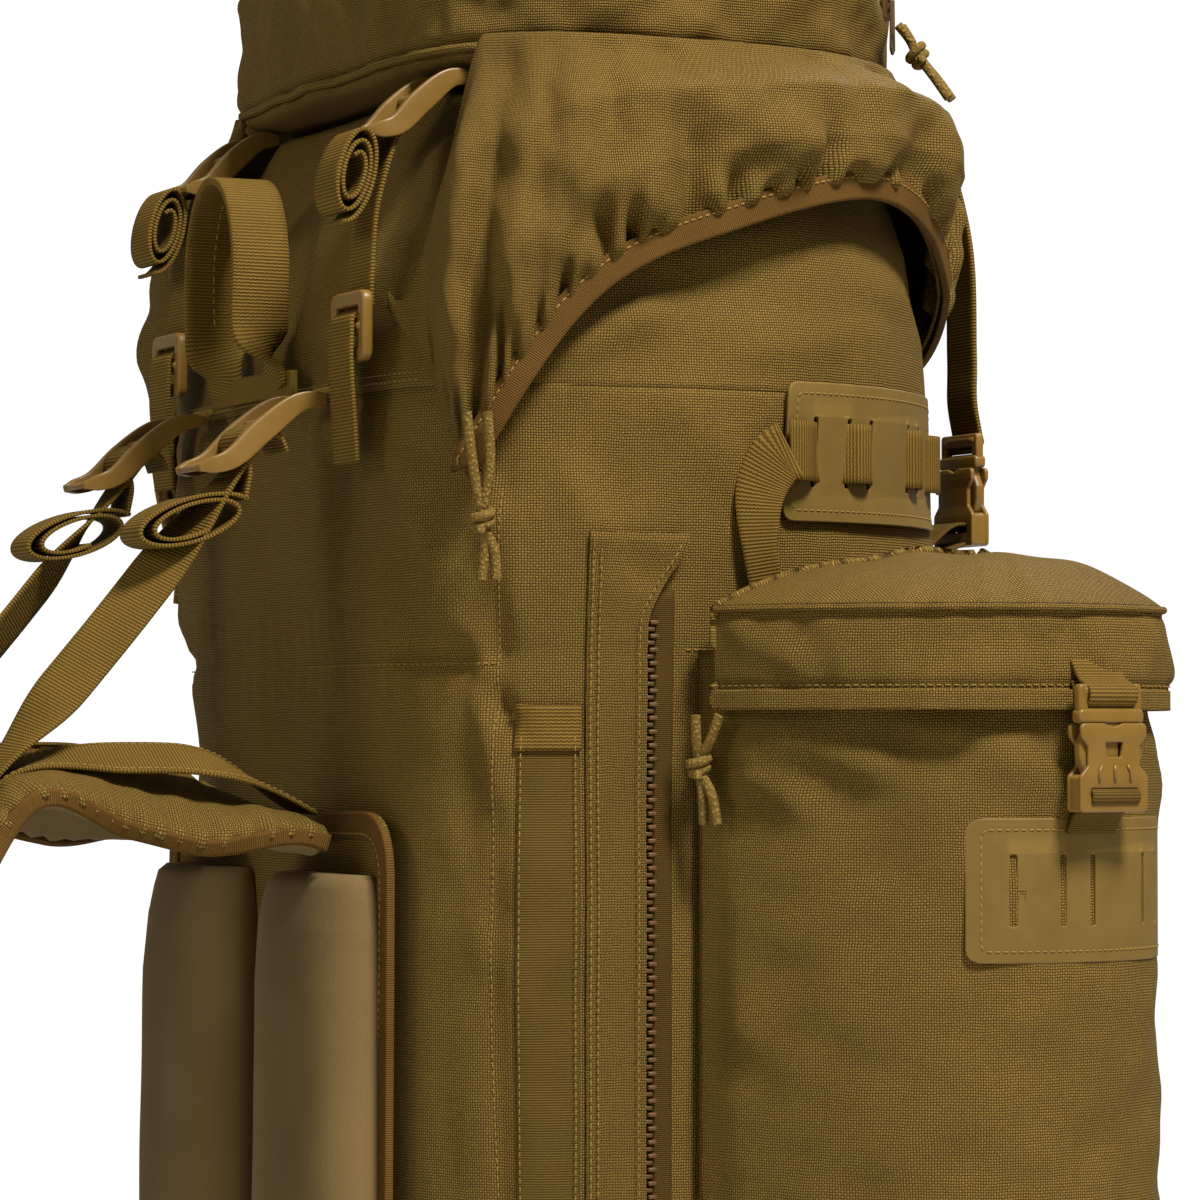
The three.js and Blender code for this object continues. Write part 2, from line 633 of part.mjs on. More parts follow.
const ZIP = { angle: 169.2 * DEG, low: 56, high: 548, half: 5, thick: 3.4, sliderZ: 92 };
addPair("zip", sideStrip(ZIP), "zip");
addPair("zip_slider", face(zipSlider(), onBody(ZIP.angle, ZIP.sliderZ, 0.6)), "zip");
addPair("lash_patch", lashingPatch(onBagSide), "patch");

const strapAcross = Array.from({ length: 17 }, (_, i) => {
  const { point, normal } = onBagSide(-72 + 9 * i, 0);
  return point.addScaledVector(normal, 4.7);
});
addPair("patch_strap", band(strapAcross, WEBBING.width, WEBBING.thick, v3(0, 0, 1)), "webbing");

// ---------------------------------------------------------------- side pouches
addPair("pouch", sidePouch(), "cordura");
addPair("pouch_lid", pouchLid(), "cordura");
addPair("pouch_patch", lashingPatch(onPouch), "patch");
const POUCH_BUCKLE = onPouch(-18, 497 - POUCH_PATCH_Z, 7.4);
const riser = box([-12, -6.4, -24], [12, 1, -12]);
addPair("pouch_buckle_female", face(join(buckleFemale(), riser), POUCH_BUCKLE), "plastic");
addPair("pouch_buckle_male", face(buckleMale(), POUCH_BUCKLE), "plastic");

// ---------------------------------------------------------------- the lid's front straps
const FRONT_BUCKLE = { point: v3(-52, -176, 610), normal: v3(0, -1, 0) };
const frontTab = box([-12, -20, -24], [12, 1, -16]);
addPair("front_buckle", face(join(buckleFemale(), frontTab), FRONT_BUCKLE), "plastic");
const frontPath = [
  v3(0, 5, 20), v3(0, 5, 60), v3(0, 3, 108), v3(0, -10, 150), v3(0, -31, 172), v3(0, -41, 184),
];
const frontWebbing = band(frontPath, WEBBING.width, 2.2, v3(1, 0, 0));
addPair("front_strap", face(join(buckleMale(), frontWebbing), FRONT_BUCKLE), "webbing");

// ---------------------------------------------------------------- cords
const HOOD_KNOT = v3(-178, 105, 586);
const hoodCord = doubledCord(
  [
    [v3(-181, 113, 628), v3(-180, 110, 608), HOOD_KNOT, v3(-176, 103, 575), v3(-175, 104, 563)],
    [v3(-185, 106, 628), v3(-183, 104, 608), HOOD_KNOT, v3(-178, 100, 575), v3(-178, 99, 563)],
  ],
  HOOD_KNOT,
);
addPair("hood_cord", hoodCord, "cord");
const POUCH_KNOT = v3(-194.5, 19, 490);
const pouchCord = doubledCord(
  [
    [v3(-197.5, 22, 510), v3(-196.5, 21, 500), POUCH_KNOT, v3(-195.5, 18, 479), v3(-194.5, 17, 467)],
    [v3(-204.5, 15, 510), v3(-200.5, 17, 500), POUCH_KNOT, v3(-199.5, 16, 479), v3(-200.5, 14, 467)],
  ],
  POUCH_KNOT,
);
addPair("pouch_cord", pouchCord, "cord");

// The lid's zip slider sits on the front left corner of the lid, its cord hanging over the seam.
const LID_SLIDER = { point: v3(-108, -108, 812), normal: v3(-1, -1, 0).normalize() };
add("lid_zip_slider", face(box([-5, 2.2, -6], [5, 9, 6]), LID_SLIDER), "zip");
const LID_KNOT = v3(-121, -121, 790);
const lidCord = doubledCord(
  [
    [v3(-118, -113, 803), v3(-119, -118, 797), LID_KNOT, v3(-125, -128, 780), v3(-129, -133, 771)],
    [v3(-113, -118, 803), v3(-118, -119, 797), LID_KNOT, v3(-128, -125, 780), v3(-133, -129, 771)],
  ],
  LID_KNOT,
);
add("lid_zip_cord", lidCord, "cord");

export default backpack;
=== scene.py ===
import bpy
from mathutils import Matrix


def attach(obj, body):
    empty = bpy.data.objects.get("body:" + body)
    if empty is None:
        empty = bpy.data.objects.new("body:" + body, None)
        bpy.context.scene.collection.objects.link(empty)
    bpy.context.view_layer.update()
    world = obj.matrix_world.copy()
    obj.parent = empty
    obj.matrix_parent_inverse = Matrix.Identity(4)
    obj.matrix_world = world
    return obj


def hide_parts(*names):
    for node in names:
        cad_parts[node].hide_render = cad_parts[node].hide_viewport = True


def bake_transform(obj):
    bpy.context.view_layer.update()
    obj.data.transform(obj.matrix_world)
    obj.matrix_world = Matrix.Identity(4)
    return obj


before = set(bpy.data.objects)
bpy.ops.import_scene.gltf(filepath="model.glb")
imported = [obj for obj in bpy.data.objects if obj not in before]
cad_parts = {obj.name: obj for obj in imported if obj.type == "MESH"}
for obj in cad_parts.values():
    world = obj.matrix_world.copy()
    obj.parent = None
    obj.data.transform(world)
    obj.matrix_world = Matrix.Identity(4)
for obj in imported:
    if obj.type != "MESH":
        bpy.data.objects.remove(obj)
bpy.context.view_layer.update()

import math

import bmesh
import bpy
import numpy as np
from mathutils import Matrix, Vector

MM = 0.001
DEG = math.pi / 180

# ------------------------------------------------------------------ camera
# The camera looks along this level line, tipped up a little, at a place in the middle of the bag.
sight = Vector((0.906, -0.423, 0.0))
CAMERA_TARGET = Vector((-0.011, -0.0236, 0.5))
CAMERA_DISTANCE = 2.0
camera = bpy.data.objects.new("camera", bpy.data.cameras.new("camera"))
bpy.context.scene.collection.objects.link(camera)
camera.data.sensor_width = 36
camera.data.lens = 138
camera.location = CAMERA_TARGET - CAMERA_DISTANCE * sight
pitch = 1.75 * DEG
aim = (sight * math.cos(pitch) + Vector((0, 0, math.sin(pitch)))).normalized()
camera.rotation_euler = aim.to_track_quat("-Z", "Y").to_euler()
camera.data.clip_end = 50
bpy.context.scene.camera = camera
bpy.context.scene.view_settings.view_transform = "Standard"

# ------------------------------------------------------------------ the bag's shape, in millimetres
BACK_POWER = 4
# Height, half width, depth to the back, depth to the front, and squareness at the front, where the
# cloth slumps.
BODY = [
    (0, 152, 96, 118, 3), (10, 167, 110, 134, 3), (40, 179, 120, 150, 3), (470, 179, 120, 150, 3),
    (545, 182, 123, 151, 2.9), (600, 184, 125, 148, 2.35), (640, 188, 127, 148, 2.3),
    (668, 187, 125, 148, 2.3), (705, 178, 115, 143, 2.3), (738, 162, 101, 132, 2.3),
    (766, 142, 86, 115, 2.3),
]
LID = [
    (772, 140, 88, 118, 2.4), (781, 158, 103, 134, 2.4), (832, 158, 105, 136, 2.4),
    (850, 140, 92, 122, 2.4), (861, 100, 62, 86, 2.4)
]


def unit(v):
    """Vectors scaled to length 1."""
    return v / np.maximum(np.linalg.norm(v, axis=-1, keepdims=True), 1e-12)


def size_at(profile, z):
    """A profile's outline sizes at a height."""
    rows = np.array(profile, float)
    return [np.interp(z, rows[:, 0], rows[:, k]) for k in (1, 2, 3, 4)]


def outline(size, angle):
    """The bag's superellipse outline at an angle: its x and y."""
    side, back, front, squareness = size
    c, s = np.cos(angle), np.sin(angle)
    depth = np.where(s >= 0, back, front)
    power = np.where(s >= 0, BACK_POWER, squareness)
    radius = (np.abs(c / side) ** power + np.abs(s / depth) ** power) ** (-1 / power)
    return radius * c, radius * s


def outline_normal(size, angle):
    """The outline's outward direction at an angle."""
    x1, y1 = outline(size, angle + 0.004)
    x0, y0 = outline(size, angle - 0.004)
    n = np.stack([y1 - y0, x0 - x1], -1)
    return unit(n)


class Waves:
    """A smooth random field: plane waves with random directions and phases."""

    def __init__(self, seed, low, high, count=14):
        r = np.random.default_rng(seed)
        turn = r.uniform(0, 2 * np.pi, count)
        size = 2 * np.pi / np.exp(r.uniform(np.log(low), np.log(high), count))
        self.k = np.stack([np.cos(turn), np.sin(turn)], -1) * size[:, None]
        self.phase = r.uniform(0, 2 * np.pi, count)
        self.count = count

    def __call__(self, u, v):
        total = 0
        for (a, b), p in zip(self.k, self.phase):
            total = total + np.sin(a * u + b * v + p)
        return total / math.sqrt(self.count)


def ramp(x, low, high):
    """From 0 at low to 1 at high, smoothly."""
    t = np.clip((x - low) / (high - low), 0, 1)
    return t * t * (3 - 2 * t)


def bump(x, centre, width):
    """1 at the centre, falling to nothing over about twice the width."""
    return np.exp(-(((x - centre) / width) ** 2))


def fold(u, v, start, end, width, height):
    """A ridge along a line in a surface's own coordinates, fading at its ends. Negative is a crease."""
    a, b = np.array(start, float), np.array(end, float)
    d = b - a
    length = np.linalg.norm(d)
    d = d / length
    along = ((u - a[0]) * d[0] + (v - a[1]) * d[1]) / length
    across = (u - a[0]) * -d[1] + (v - a[1]) * d[0]
    fade = ramp(along, -0.15, 0.25) * ramp(-along, -1.15, -0.75)
    return height * fade * np.exp(-((across / width) ** 2))


# ------------------------------------------------------------------ mesh making
def mesh_object(name, points, faces, uv=None, material=None, smooth=True):
    """points in millimetres; faces as rows of point numbers; uv one pair per face corner, in metres."""
    mesh = bpy.data.meshes.new(name)
    mesh.from_pydata((np.asarray(points) * MM).tolist(), [], [list(f) for f in faces])
    if uv is not None:
        layer = mesh.uv_layers.new(name="UVMap")
        layer.data.foreach_set("uv", np.asarray(uv, np.float32).ravel())
    obj = bpy.data.objects.new(name, mesh)
    bpy.context.scene.collection.objects.link(obj)
    if smooth:
        mesh.polygons.foreach_set("use_smooth", np.ones(len(mesh.polygons), bool))
    if material:
        mesh.materials.append(material)
    mesh.update()
    return obj


def grid_object(name, grid, u, v, wrap=True, material=None, flip=False):
    """A surface through a grid of points.

    u and v are its texture coordinates in millimetres, one column wider than the grid when it wraps.
    """
    rows, columns = grid.shape[:2]
    last = columns if wrap else columns - 1
    i, j = np.meshgrid(np.arange(rows - 1), np.arange(last), indexing="ij")
    k = (j + 1) % columns
    quad = np.stack(
        [i * columns + j, i * columns + k, (i + 1) * columns + k, (i + 1) * columns + j], -1
    ).reshape(-1, 4)
    corners = [(i, j), (i, j + 1), (i + 1, j + 1), (i + 1, j)]
    uv = np.stack([np.stack([u[a, b], v[a, b]], -1) for a, b in corners], -2).reshape(-1, 4, 2) * MM
    if flip:
        quad, uv = quad[:, ::-1], uv[:, ::-1]
    return mesh_object(name, grid.reshape(-1, 3), quad.tolist(), uv.reshape(-1, 2), material)


def arc(points, wrap):
    """Distance along a row of points."""
    p = np.concatenate([points, points[:1]]) if wrap else points
    return np.concatenate([[0], np.cumsum(np.linalg.norm(np.diff(p, axis=0), axis=1))])


def grid_uv(grid, wrap=True, row=None):
    """Texture coordinates of a grid from the lengths of one row and of its first column."""
    u = arc(grid[len(grid) // 2 if row is None else row], wrap)
    v = arc(grid[:, 0], False)
    return np.meshgrid(u, v)


def solidify(obj, thickness, offset=-1):
    """Gives a sheet its thickness in millimetres: inwards at offset -1, outwards at 1."""
    m = obj.modifiers.new("thick", "SOLIDIFY")
    m.thickness = thickness * MM
    m.offset = offset
    return obj


def subdivide(obj, levels=1):
    m = obj.modifiers.new("fine", "SUBSURF")
    m.levels = m.render_levels = levels
    return obj


def merged(name, objects):
    """Joins objects into one mesh object."""
    bpy.context.view_layer.update()
    dg = bpy.context.evaluated_depsgraph_get()
    points, faces, uv, materials, index = [], [], [], [], []
    for o in objects:
        m = bpy.data.meshes.new_from_object(o.evaluated_get(dg))
        m.transform(o.matrix_world)
        base = len(points)
        slots = []
        for material in m.materials:
            if material not in materials:
                materials.append(material)
            slots.append(materials.index(material))
        layer = m.uv_layers[0].data if m.uv_layers else None
        points.extend([tuple(v.co) for v in m.vertices])
        for p in m.polygons:
            faces.append([base + k for k in p.vertices])
            index.append(slots[p.material_index] if slots else 0)
            for l in p.loop_indices:
                uv.append(tuple(layer[l].uv) if layer else (0.0, 0.0))
        bpy.data.meshes.remove(m)
    for o in objects:
        bpy.data.objects.remove(o)
    out = mesh_object(name, np.array(points) / MM, faces, uv)
    for m in materials:
        out.data.materials.append(m)
    out.data.polygons.foreach_set("material_index", np.array(index, np.int32))
    return out


def close_holes(obj):
    """Closes a piece's open ends with flat faces."""
    bm = bmesh.new()
    bm.from_mesh(obj.data)
    bmesh.ops.holes_fill(bm, edges=[e for e in bm.edges if e.is_boundary])
    bmesh.ops.recalc_face_normals(bm, faces=bm.faces)
    bm.to_mesh(obj.data)
    bm.free()


def mirrored(obj, name):
    """A copy of a left-hand piece on the right-hand side."""
    copy = obj.copy()
    copy.data = obj.data.copy()
    copy.name = name
    bpy.context.scene.collection.objects.link(copy)
    copy.data.transform(Matrix.Diagonal((-1, 1, 1, 1)))
    copy.data.flip_normals()
    return copy


def spline(points, count):
    """A smooth curve through points (centripetal Catmull-Rom), evenly sampled."""
    p = np.array(points, float)
    p = np.concatenate([[2 * p[0] - p[1]], p, [2 * p[-1] - p[-2]]])
    out = []
    for i in range(1, len(p) - 2):
        t = np.linspace(0, 1, 24, endpoint=False)[:, None]
        a, b, c, d = p[i - 1], p[i], p[i + 1], p[i + 2]
        out.append(
            0.5
            * (2 * b + (c - a) * t + (2 * a - 5 * b + 4 * c - d) * t**2 + (3 * b - a - 3 * c + d) * t**3)
        )
    out = np.concatenate(out + [p[-2:-1]])
    s = arc(out, False)
    at = np.linspace(0, s[-1], count)
    return np.stack([np.interp(at, s, out[:, k]) for k in range(3)], -1)


def frame_along(path, side):
    """Unit directions along a path: forwards, across (as near side as it can be) and up."""
    tangent = unit(np.gradient(path, axis=0))
    side = np.broadcast_to(np.asarray(side, float), path.shape)
    across = unit(side - (side * tangent).sum(-1, keepdims=True) * tangent)
    up = np.cross(across, tangent)
    return tangent, across, up


def cap_ends(obj, rows, columns):
    """Closes both ends of a piece swept as rows of points, so many columns to a row."""
    bm = bmesh.new()
    bm.from_mesh(obj.data)
    bm.verts.ensure_lookup_table()
    bm.faces.new([bm.verts[i] for i in range(columns)])
    bm.faces.new([bm.verts[(rows - 1) * columns + i] for i in reversed(range(columns))])
    bmesh.ops.recalc_face_normals(bm, faces=bm.faces)
    bm.to_mesh(obj.data)
    bm.free()
    return obj


def ribbon(name, path, width, thick, side, material):
    """Flat webbing swept along a path, with rounded edges. Texture: u across, v along."""
    path = np.asarray(path, float)
    n = len(path)
    _, across, up = frame_along(path, side)
    w = np.broadcast_to(np.asarray(width, float), (n,)) / 2
    h = np.broadcast_to(np.asarray(thick, float), (n,)) / 2
    shape = []
    for s in np.linspace(-1, 1, 9):
        shape.append((s, 1))
    shape += [(1.02, 0.55), (1.02, -0.55)]
    for s in np.linspace(1, -1, 9):
        shape.append((s, -1))
    shape += [(-1.02, -0.55), (-1.02, 0.55)]
    rows = []
    for a, b in shape:
        rows.append(path + across * (a * (w - 0.15))[:, None] + up * (b * h)[:, None])
    grid = np.stack(rows, 1)
    v = arc(path, False)
    widths = np.array([a for a, _ in shape] + [shape[0][0]]) * float(np.max(w))
    u, vv = np.meshgrid(widths, v)
    return cap_ends(grid_object(name, grid, u, vv, True, material), n, grid.shape[1])


def tube(name, path, radius, material, sides=10):
    """A round bar along a path. Texture: u round it, v along."""
    path = np.asarray(path, float)
    tangent = unit(np.gradient(path, axis=0))
    ref = np.array([0.3, 0.2, 1.0])
    across = [unit(np.cross(tangent[0], ref))]
    for t in tangent[1:]:
        a = across[-1] - (across[-1] @ t) * t
        across.append(unit(a))
    across = np.array(across)
    up = np.cross(tangent, across)
    r = np.broadcast_to(np.asarray(radius, float), (len(path),))
    ang = np.linspace(0, 2 * np.pi, sides, endpoint=False)
    grid = path[:, None] + r[:, None, None] * (
        across[:, None] * np.cos(ang)[None, :, None] + up[:, None] * np.sin(ang)[None, :, None]
    )
    u, v = np.meshgrid(np.linspace(0, 2 * np.pi * float(np.max(r)), sides + 1), arc(path, False))
    return cap_ends(grid_object(name, grid, u, v, True, material), len(path), sides)


def stitches(name, path, normal, material, pitch=3.3, length=2.4, radius=0.32):
    """A row of lockstitches lying on a surface along a path."""
    path = np.asarray(path, float)
    normal = np.broadcast_to(np.asarray(normal, float), path.shape)
    s = arc(path, False)
    count = max(2, int(s[-1] / pitch))
    at = (np.arange(count) + 0.5) * s[-1] / count
    centre = np.stack([np.interp(at, s, path[:, k]) for k in range(3)], -1)
    along = np.stack([np.interp(at, s, np.gradient(path[:, k], s)) for k in range(3)], -1)
    up = unit(np.stack([np.interp(at, s, normal[:, k]) for k in range(3)], -1))
    along = unit(along)
    across = np.cross(up, along)
    points, faces = [], []
    sides = 6
    for c, a, b, u in zip(centre, along, across, up):
        base = len(points)
        for x, r, lift in ((-0.5, 0.45, -0.35), (-0.3, 1, 0.1), (0.3, 1, 0.1), (0.5, 0.45, -0.35)):
            for k in range(sides):
                t = 2 * math.pi * k / sides
                points.append(
                    c + a * x * length + b * (r * radius * math.cos(t)) + u
                    * (r * radius * math.sin(t) + lift * radius)
                )
        for i in range(3):
            for k in range(sides):
                p, q = base + i * sides + k, base + i * sides + (k + 1) % sides
                faces.append((p, q, q + sides, p + sides))
        faces.append(tuple(base + k for k in reversed(range(sides))))
        faces.append(tuple(base + 3 * sides + k for k in range(sides)))
    return mesh_object(name, np.array(points), faces, None, material)


def plate(name, loops, thick, bevel, material, resolution=2):
    """A flat plate with holes and rounded edges, in XY, centred on z = 0. The first loop is its outline."""
    curve = bpy.data.curves.new(name, "CURVE")
    curve.dimensions = "2D"
    curve.fill_mode = "BOTH"
    curve.extrude = max(thick / 2 - bevel, 1e-4) * MM
    curve.bevel_depth = bevel * MM
    curve.bevel_resolution = resolution
    for loop in loops:
        s = curve.splines.new("POLY")
        s.points.add(len(loop) - 1)
        for p, (x, y) in zip(s.points, loop):
            p.co = (x * MM, y * MM, 0, 1)
        s.use_cyclic_u = True
    obj = bpy.data.objects.new(name, curve)
    bpy.context.scene.collection.objects.link(obj)
    bpy.context.view_layer.update()
    mesh = bpy.data.meshes.new_from_object(obj.evaluated_get(bpy.context.evaluated_depsgraph_get()))
    bpy.data.objects.remove(obj)
    out = bpy.data.objects.new(name, mesh)
    bpy.context.scene.collection.objects.link(out)
    mesh.materials.clear()
    mesh.materials.append(material)
    mesh.polygons.foreach_set("use_smooth", np.ones(len(mesh.polygons), bool))
    bm = bmesh.new()
    bm.from_mesh(mesh)
    bmesh.ops.remove_doubles(bm, verts=bm.verts, dist=1e-6)
    bmesh.ops.recalc_face_normals(bm, faces=bm.faces)
    bm.to_mesh(mesh)
    bm.free()
    layer = mesh.uv_layers.active or mesh.uv_layers.new(name="UVMap")
    flat = [mesh.vertices[loop.vertex_index].co[:2] for loop in mesh.loops]
    layer.data.foreach_set("uv", np.array(flat).ravel())
    mod = out.modifiers.new("normals", "WEIGHTED_NORMAL")
    mod.keep_sharp = True
    return out


def rounded(points, radius, steps=5):
    """A polygon's corners rounded."""
    p = np.array(points, float)
    out = []
    n = len(p)
    for i in range(n):
        a, b, c = p[i - 1], p[i], p[(i + 1) % n]
        r = radius if np.isscalar(radius) else radius[i]
        u, v = unit(a - b), unit(c - b)
        half = 0.5 * math.acos(float(np.clip(u @ v, -1, 1)))
        cut = min(r / max(math.tan(half), 1e-6), 0.49 * np.linalg.norm(a - b), 0.49 * np.linalg.norm(c - b))
        p0, p2 = b + u * cut, b + v * cut
        for t in np.linspace(0, 1, steps):
            out.append((1 - t) ** 2 * p0 + 2 * t * (1 - t) * b + t**2 * p2)
    return [tuple(q) for q in out]


def rect(x0, y0, x1, y1, radius=1.0):
    """A rectangle with rounded corners."""
    return rounded([(x0, y0), (x1, y0), (x1, y1), (x0, y1)], radius)


def place(obj, matrix):
    """Moves a piece made in millimetres about its own origin to a place given in millimetres."""
    m = matrix.copy()
    m.translation = m.translation * MM
    obj.data.transform(m)
    return obj


# ------------------------------------------------------------------ materials
class Graph:
    """Short ways to make shader nodes."""

    def __init__(self, material):
        self.tree = material.node_tree
        self.bsdf = self.tree.nodes["Principled BSDF"]

    def node(self, kind, **inputs):
        n = self.tree.nodes.new(kind)
        for key, value in inputs.items():
            if hasattr(n, key):
                setattr(n, key, value)
        return n

    def put(self, value, socket):
        if hasattr(value, "is_output"):
            self.tree.links.new(value, socket)
        elif isinstance(value, tuple) and len(value) == 3 and socket.type == "RGBA":
            socket.default_value = (*value, 1)
        else:
            socket.default_value = value

    def math(self, op, a, b=0.0):
        n = self.node("ShaderNodeMath", operation=op)
        self.put(a, n.inputs[0])
        self.put(b, n.inputs[1])
        return n.outputs[0]

    def mix(self, factor, a, b):
        n = self.node("ShaderNodeMix", data_type="RGBA")
        self.put(factor, n.inputs[0])
        self.put(a, n.inputs[6])
        self.put(b, n.inputs[7])
        return n.outputs[2]

    def scale_colour(self, colour, factor):
        n = self.node("ShaderNodeVectorMath", operation="SCALE")
        self.put(colour, n.inputs[0])
        self.put(factor, n.inputs[3])
        return n.outputs[0]

    def noise(self, vector, scale, detail=2.0, rough=0.5):
        n = self.node("ShaderNodeTexNoise")
        self.put(vector, n.inputs["Vector"])
        n.inputs["Scale"].default_value = scale
        n.inputs["Detail"].default_value = detail
        n.inputs["Roughness"].default_value = rough
        return n.outputs["Fac"]

    def uv(self):
        n = self.node("ShaderNodeTexCoord")
        s = self.node("ShaderNodeSeparateXYZ")
        self.put(n.outputs["UV"], s.inputs[0])
        return n.outputs["UV"], s.outputs[0], s.outputs[1]

    def place(self):
        return self.node("ShaderNodeTexCoord").outputs["Object"]

    def remap(self, value, a0, a1, b0, b1):
        n = self.node("ShaderNodeMapRange")
        n.clamp = True
        self.put(value, n.inputs[0])
        for i, x in enumerate((a0, a1, b0, b1)):
            n.inputs[i + 1].default_value = x
        return n.outputs[0]

    def bump(self, height, distance):
        n = self.node("ShaderNodeBump")
        n.inputs["Strength"].default_value = 1.0
        n.inputs["Distance"].default_value = distance
        self.put(height, n.inputs["Height"])
        return n.outputs[0]


def material(name, roughness=0.8, specular=0.25, sheen=0.0):
    """A new material with its own finish, and the graph that its nodes go into."""
    m = bpy.data.materials.new(name)
    m.use_nodes = True
    g = Graph(m)
    g.bsdf.inputs["Roughness"].default_value = roughness
    g.bsdf.inputs["Specular IOR Level"].default_value = specular
    g.bsdf.inputs["Sheen Weight"].default_value = sheen
    g.bsdf.inputs["Sheen Roughness"].default_value = 0.5
    return m, g


def woven(name, colour, pitch, contrast=0.78, relief=0.5, roughness=0.7, specular=0.09):
    """Plain-woven cloth: warp and weft threads crossing over and under, pitch metres apart."""
    m, g = material(name, roughness, specular)
    vector, u, v = g.uv()
    wobble = g.math("MULTIPLY", g.math("SUBTRACT", g.noise(vector, 90, 2), 0.5), pitch * 1.2)
    a = g.math("SINE", g.math("MULTIPLY", g.math("ADD", u, wobble), math.pi / pitch))
    b = g.math("SINE", g.math("MULTIPLY", g.math("ADD", v, wobble), math.pi / pitch))
    product = g.math("MULTIPLY", a, b)
    thread = g.math("POWER", g.math("ABSOLUTE", product), 0.55)
    warp = g.remap(product, -0.15, 0.15, 0.0, 1.0)
    fibre = g.noise(vector, 2.1 / pitch, 1)
    cloud = g.noise(vector, 9, 3, 0.6)
    speck = g.noise(vector, 0.36 / pitch, 2)
    # The colour runs from low in the gaps between threads to high on their crowns: painted shade in the
    # gaps and painted highlight (glints) on the thread tops. The fibre noise on it is the threads' own
    # uneven tone.
    low = tuple(c * (1 - contrast) for c in colour)
    high = tuple(c * (1 + 0.95 * contrast) for c in colour)
    base = g.mix(g.math("MULTIPLY", thread, g.remap(fibre, 0.3, 0.7, 0.55, 1.2)), low, high)
    tone = g.math("MULTIPLY", g.remap(warp, 0, 1, 0.86, 1.12), g.remap(cloud, 0.3, 0.7, 0.9, 1.1))
    tone = g.math("MULTIPLY", tone, g.remap(speck, 0.3, 0.7, 0.93, 1.08))
    g.put(g.scale_colour(base, tone), g.bsdf.inputs["Base Color"])
    g.put(g.remap(thread, 0, 1, roughness + 0.15, roughness - 0.1), g.bsdf.inputs["Roughness"])
    g.put(g.bump(thread, relief * MM), g.bsdf.inputs["Normal"])
    return m


def ribbed(name, colour, rib=1.4, column=2.1, contrast=0.5, roughness=0.75, specular=0.05):
    """Woven webbing: ribs across its width, in columns along it."""
    m, g = material(name, roughness, specular)
    vector, u, v = g.uv()
    columns = g.math("SINE", g.math("MULTIPLY", u, 2 * math.pi / (column * MM)))
    shift = g.remap(columns, -0.2, 0.2, -0.06, 0.06)
    phase = g.math("ADD", g.math("MULTIPLY", v, 1 / (rib * MM)), shift)
    wave = g.math("SINE", g.math("MULTIPLY", phase, 2 * math.pi))
    rib_height = g.remap(wave, -0.9, 0.9, 0.0, 1.0)
    groove = g.remap(g.math("ABSOLUTE", columns), 0.0, 0.5, 0.8, 1.0)
    height = g.math("MULTIPLY", rib_height, groove)
    fibre = g.noise(vector, 900, 1)
    # The colour runs from low in the grooves between ribs and columns to high on the ribs: painted shade in
    # the grooves. The fibre and cloud noise are the webbing's own uneven tone.
    low = tuple(c * (1 - contrast) for c in colour)
    high = tuple(c * (1 + 0.7 * contrast) for c in colour)
    base = g.mix(g.math("MULTIPLY", height, g.remap(fibre, 0.3, 0.7, 0.7, 1.15)), low, high)
    g.put(
        g.scale_colour(base, g.remap(g.noise(vector, 30, 2), 0.3, 0.7, 0.9, 1.1)),
        g.bsdf.inputs["Base Color"]
    )
    g.put(g.bump(height, 0.28 * MM), g.bsdf.inputs["Normal"])
    return m


def moulded(name, colour, roughness=0.42, specular=0.4, grain=0.03, edge_lightening=1.25):
    """Moulded plastic or coated sheet: a fine grain, faint flow marks and lighter sharp edges."""
    m, g = material(name, roughness, specular)
    place = g.place()
    fine = g.noise(place, 2600, 2)
    cloud = g.noise(place, 60, 3, 0.6)
    geometry = g.node("ShaderNodeNewGeometry")
    # Sharp convex edges, found by their pointiness, are made lighter than the rest.
    edge = g.remap(geometry.outputs["Pointiness"], 0.5, 0.56, 0.0, 1.0)
    base = g.mix(edge, colour, tuple(c * edge_lightening for c in colour))
    g.put(g.scale_colour(base, g.remap(cloud, 0.3, 0.7, 0.92, 1.08)), g.bsdf.inputs["Base Color"])
    g.put(g.remap(cloud, 0.3, 0.7, roughness - 0.06, roughness + 0.1), g.bsdf.inputs["Roughness"])
    g.put(g.bump(fine, grain * MM), g.bsdf.inputs["Normal"])
    return m


def knitted(name, colour, roughness=0.9):
    """Smooth brushed knit over foam."""
    m, g = material(name, roughness, 0.12, 0.03)
    place = g.place()
    fine = g.noise(place, 1500, 2, 0.7)
    pile = g.noise(place, 480, 2)
    cloud = g.noise(place, 14, 3, 0.6)
    base = g.mix(fine, tuple(c * 0.8 for c in colour), tuple(c * 1.2 for c in colour))
    g.put(g.scale_colour(base, g.remap(cloud, 0.3, 0.7, 0.9, 1.08)), g.bsdf.inputs["Base Color"])
    g.put(g.bump(g.math("ADD", g.math("MULTIPLY", fine, 0.5), pile), 0.12 * MM), g.bsdf.inputs["Normal"])
    return m


def cord_material(name, colour):
    """Braided cord: small raised cells where its strands cross."""
    m, g = material(name, 0.75, 0.08)
    wave = g.node("ShaderNodeTexVoronoi")
    g.put(g.place(), wave.inputs["Vector"])
    wave.inputs["Scale"].default_value = 620
    height = g.remap(wave.outputs["Distance"], 0.1, 0.6, 1.0, 0.0)
    # Darker where the cells meet: painted shade in the crevices between the strands.
    base = g.mix(height, tuple(c * 0.55 for c in colour), tuple(c * 1.1 for c in colour))
    g.put(base, g.bsdf.inputs["Base Color"])
    g.put(g.bump(height, 0.5 * MM), g.bsdf.inputs["Normal"])
    return m


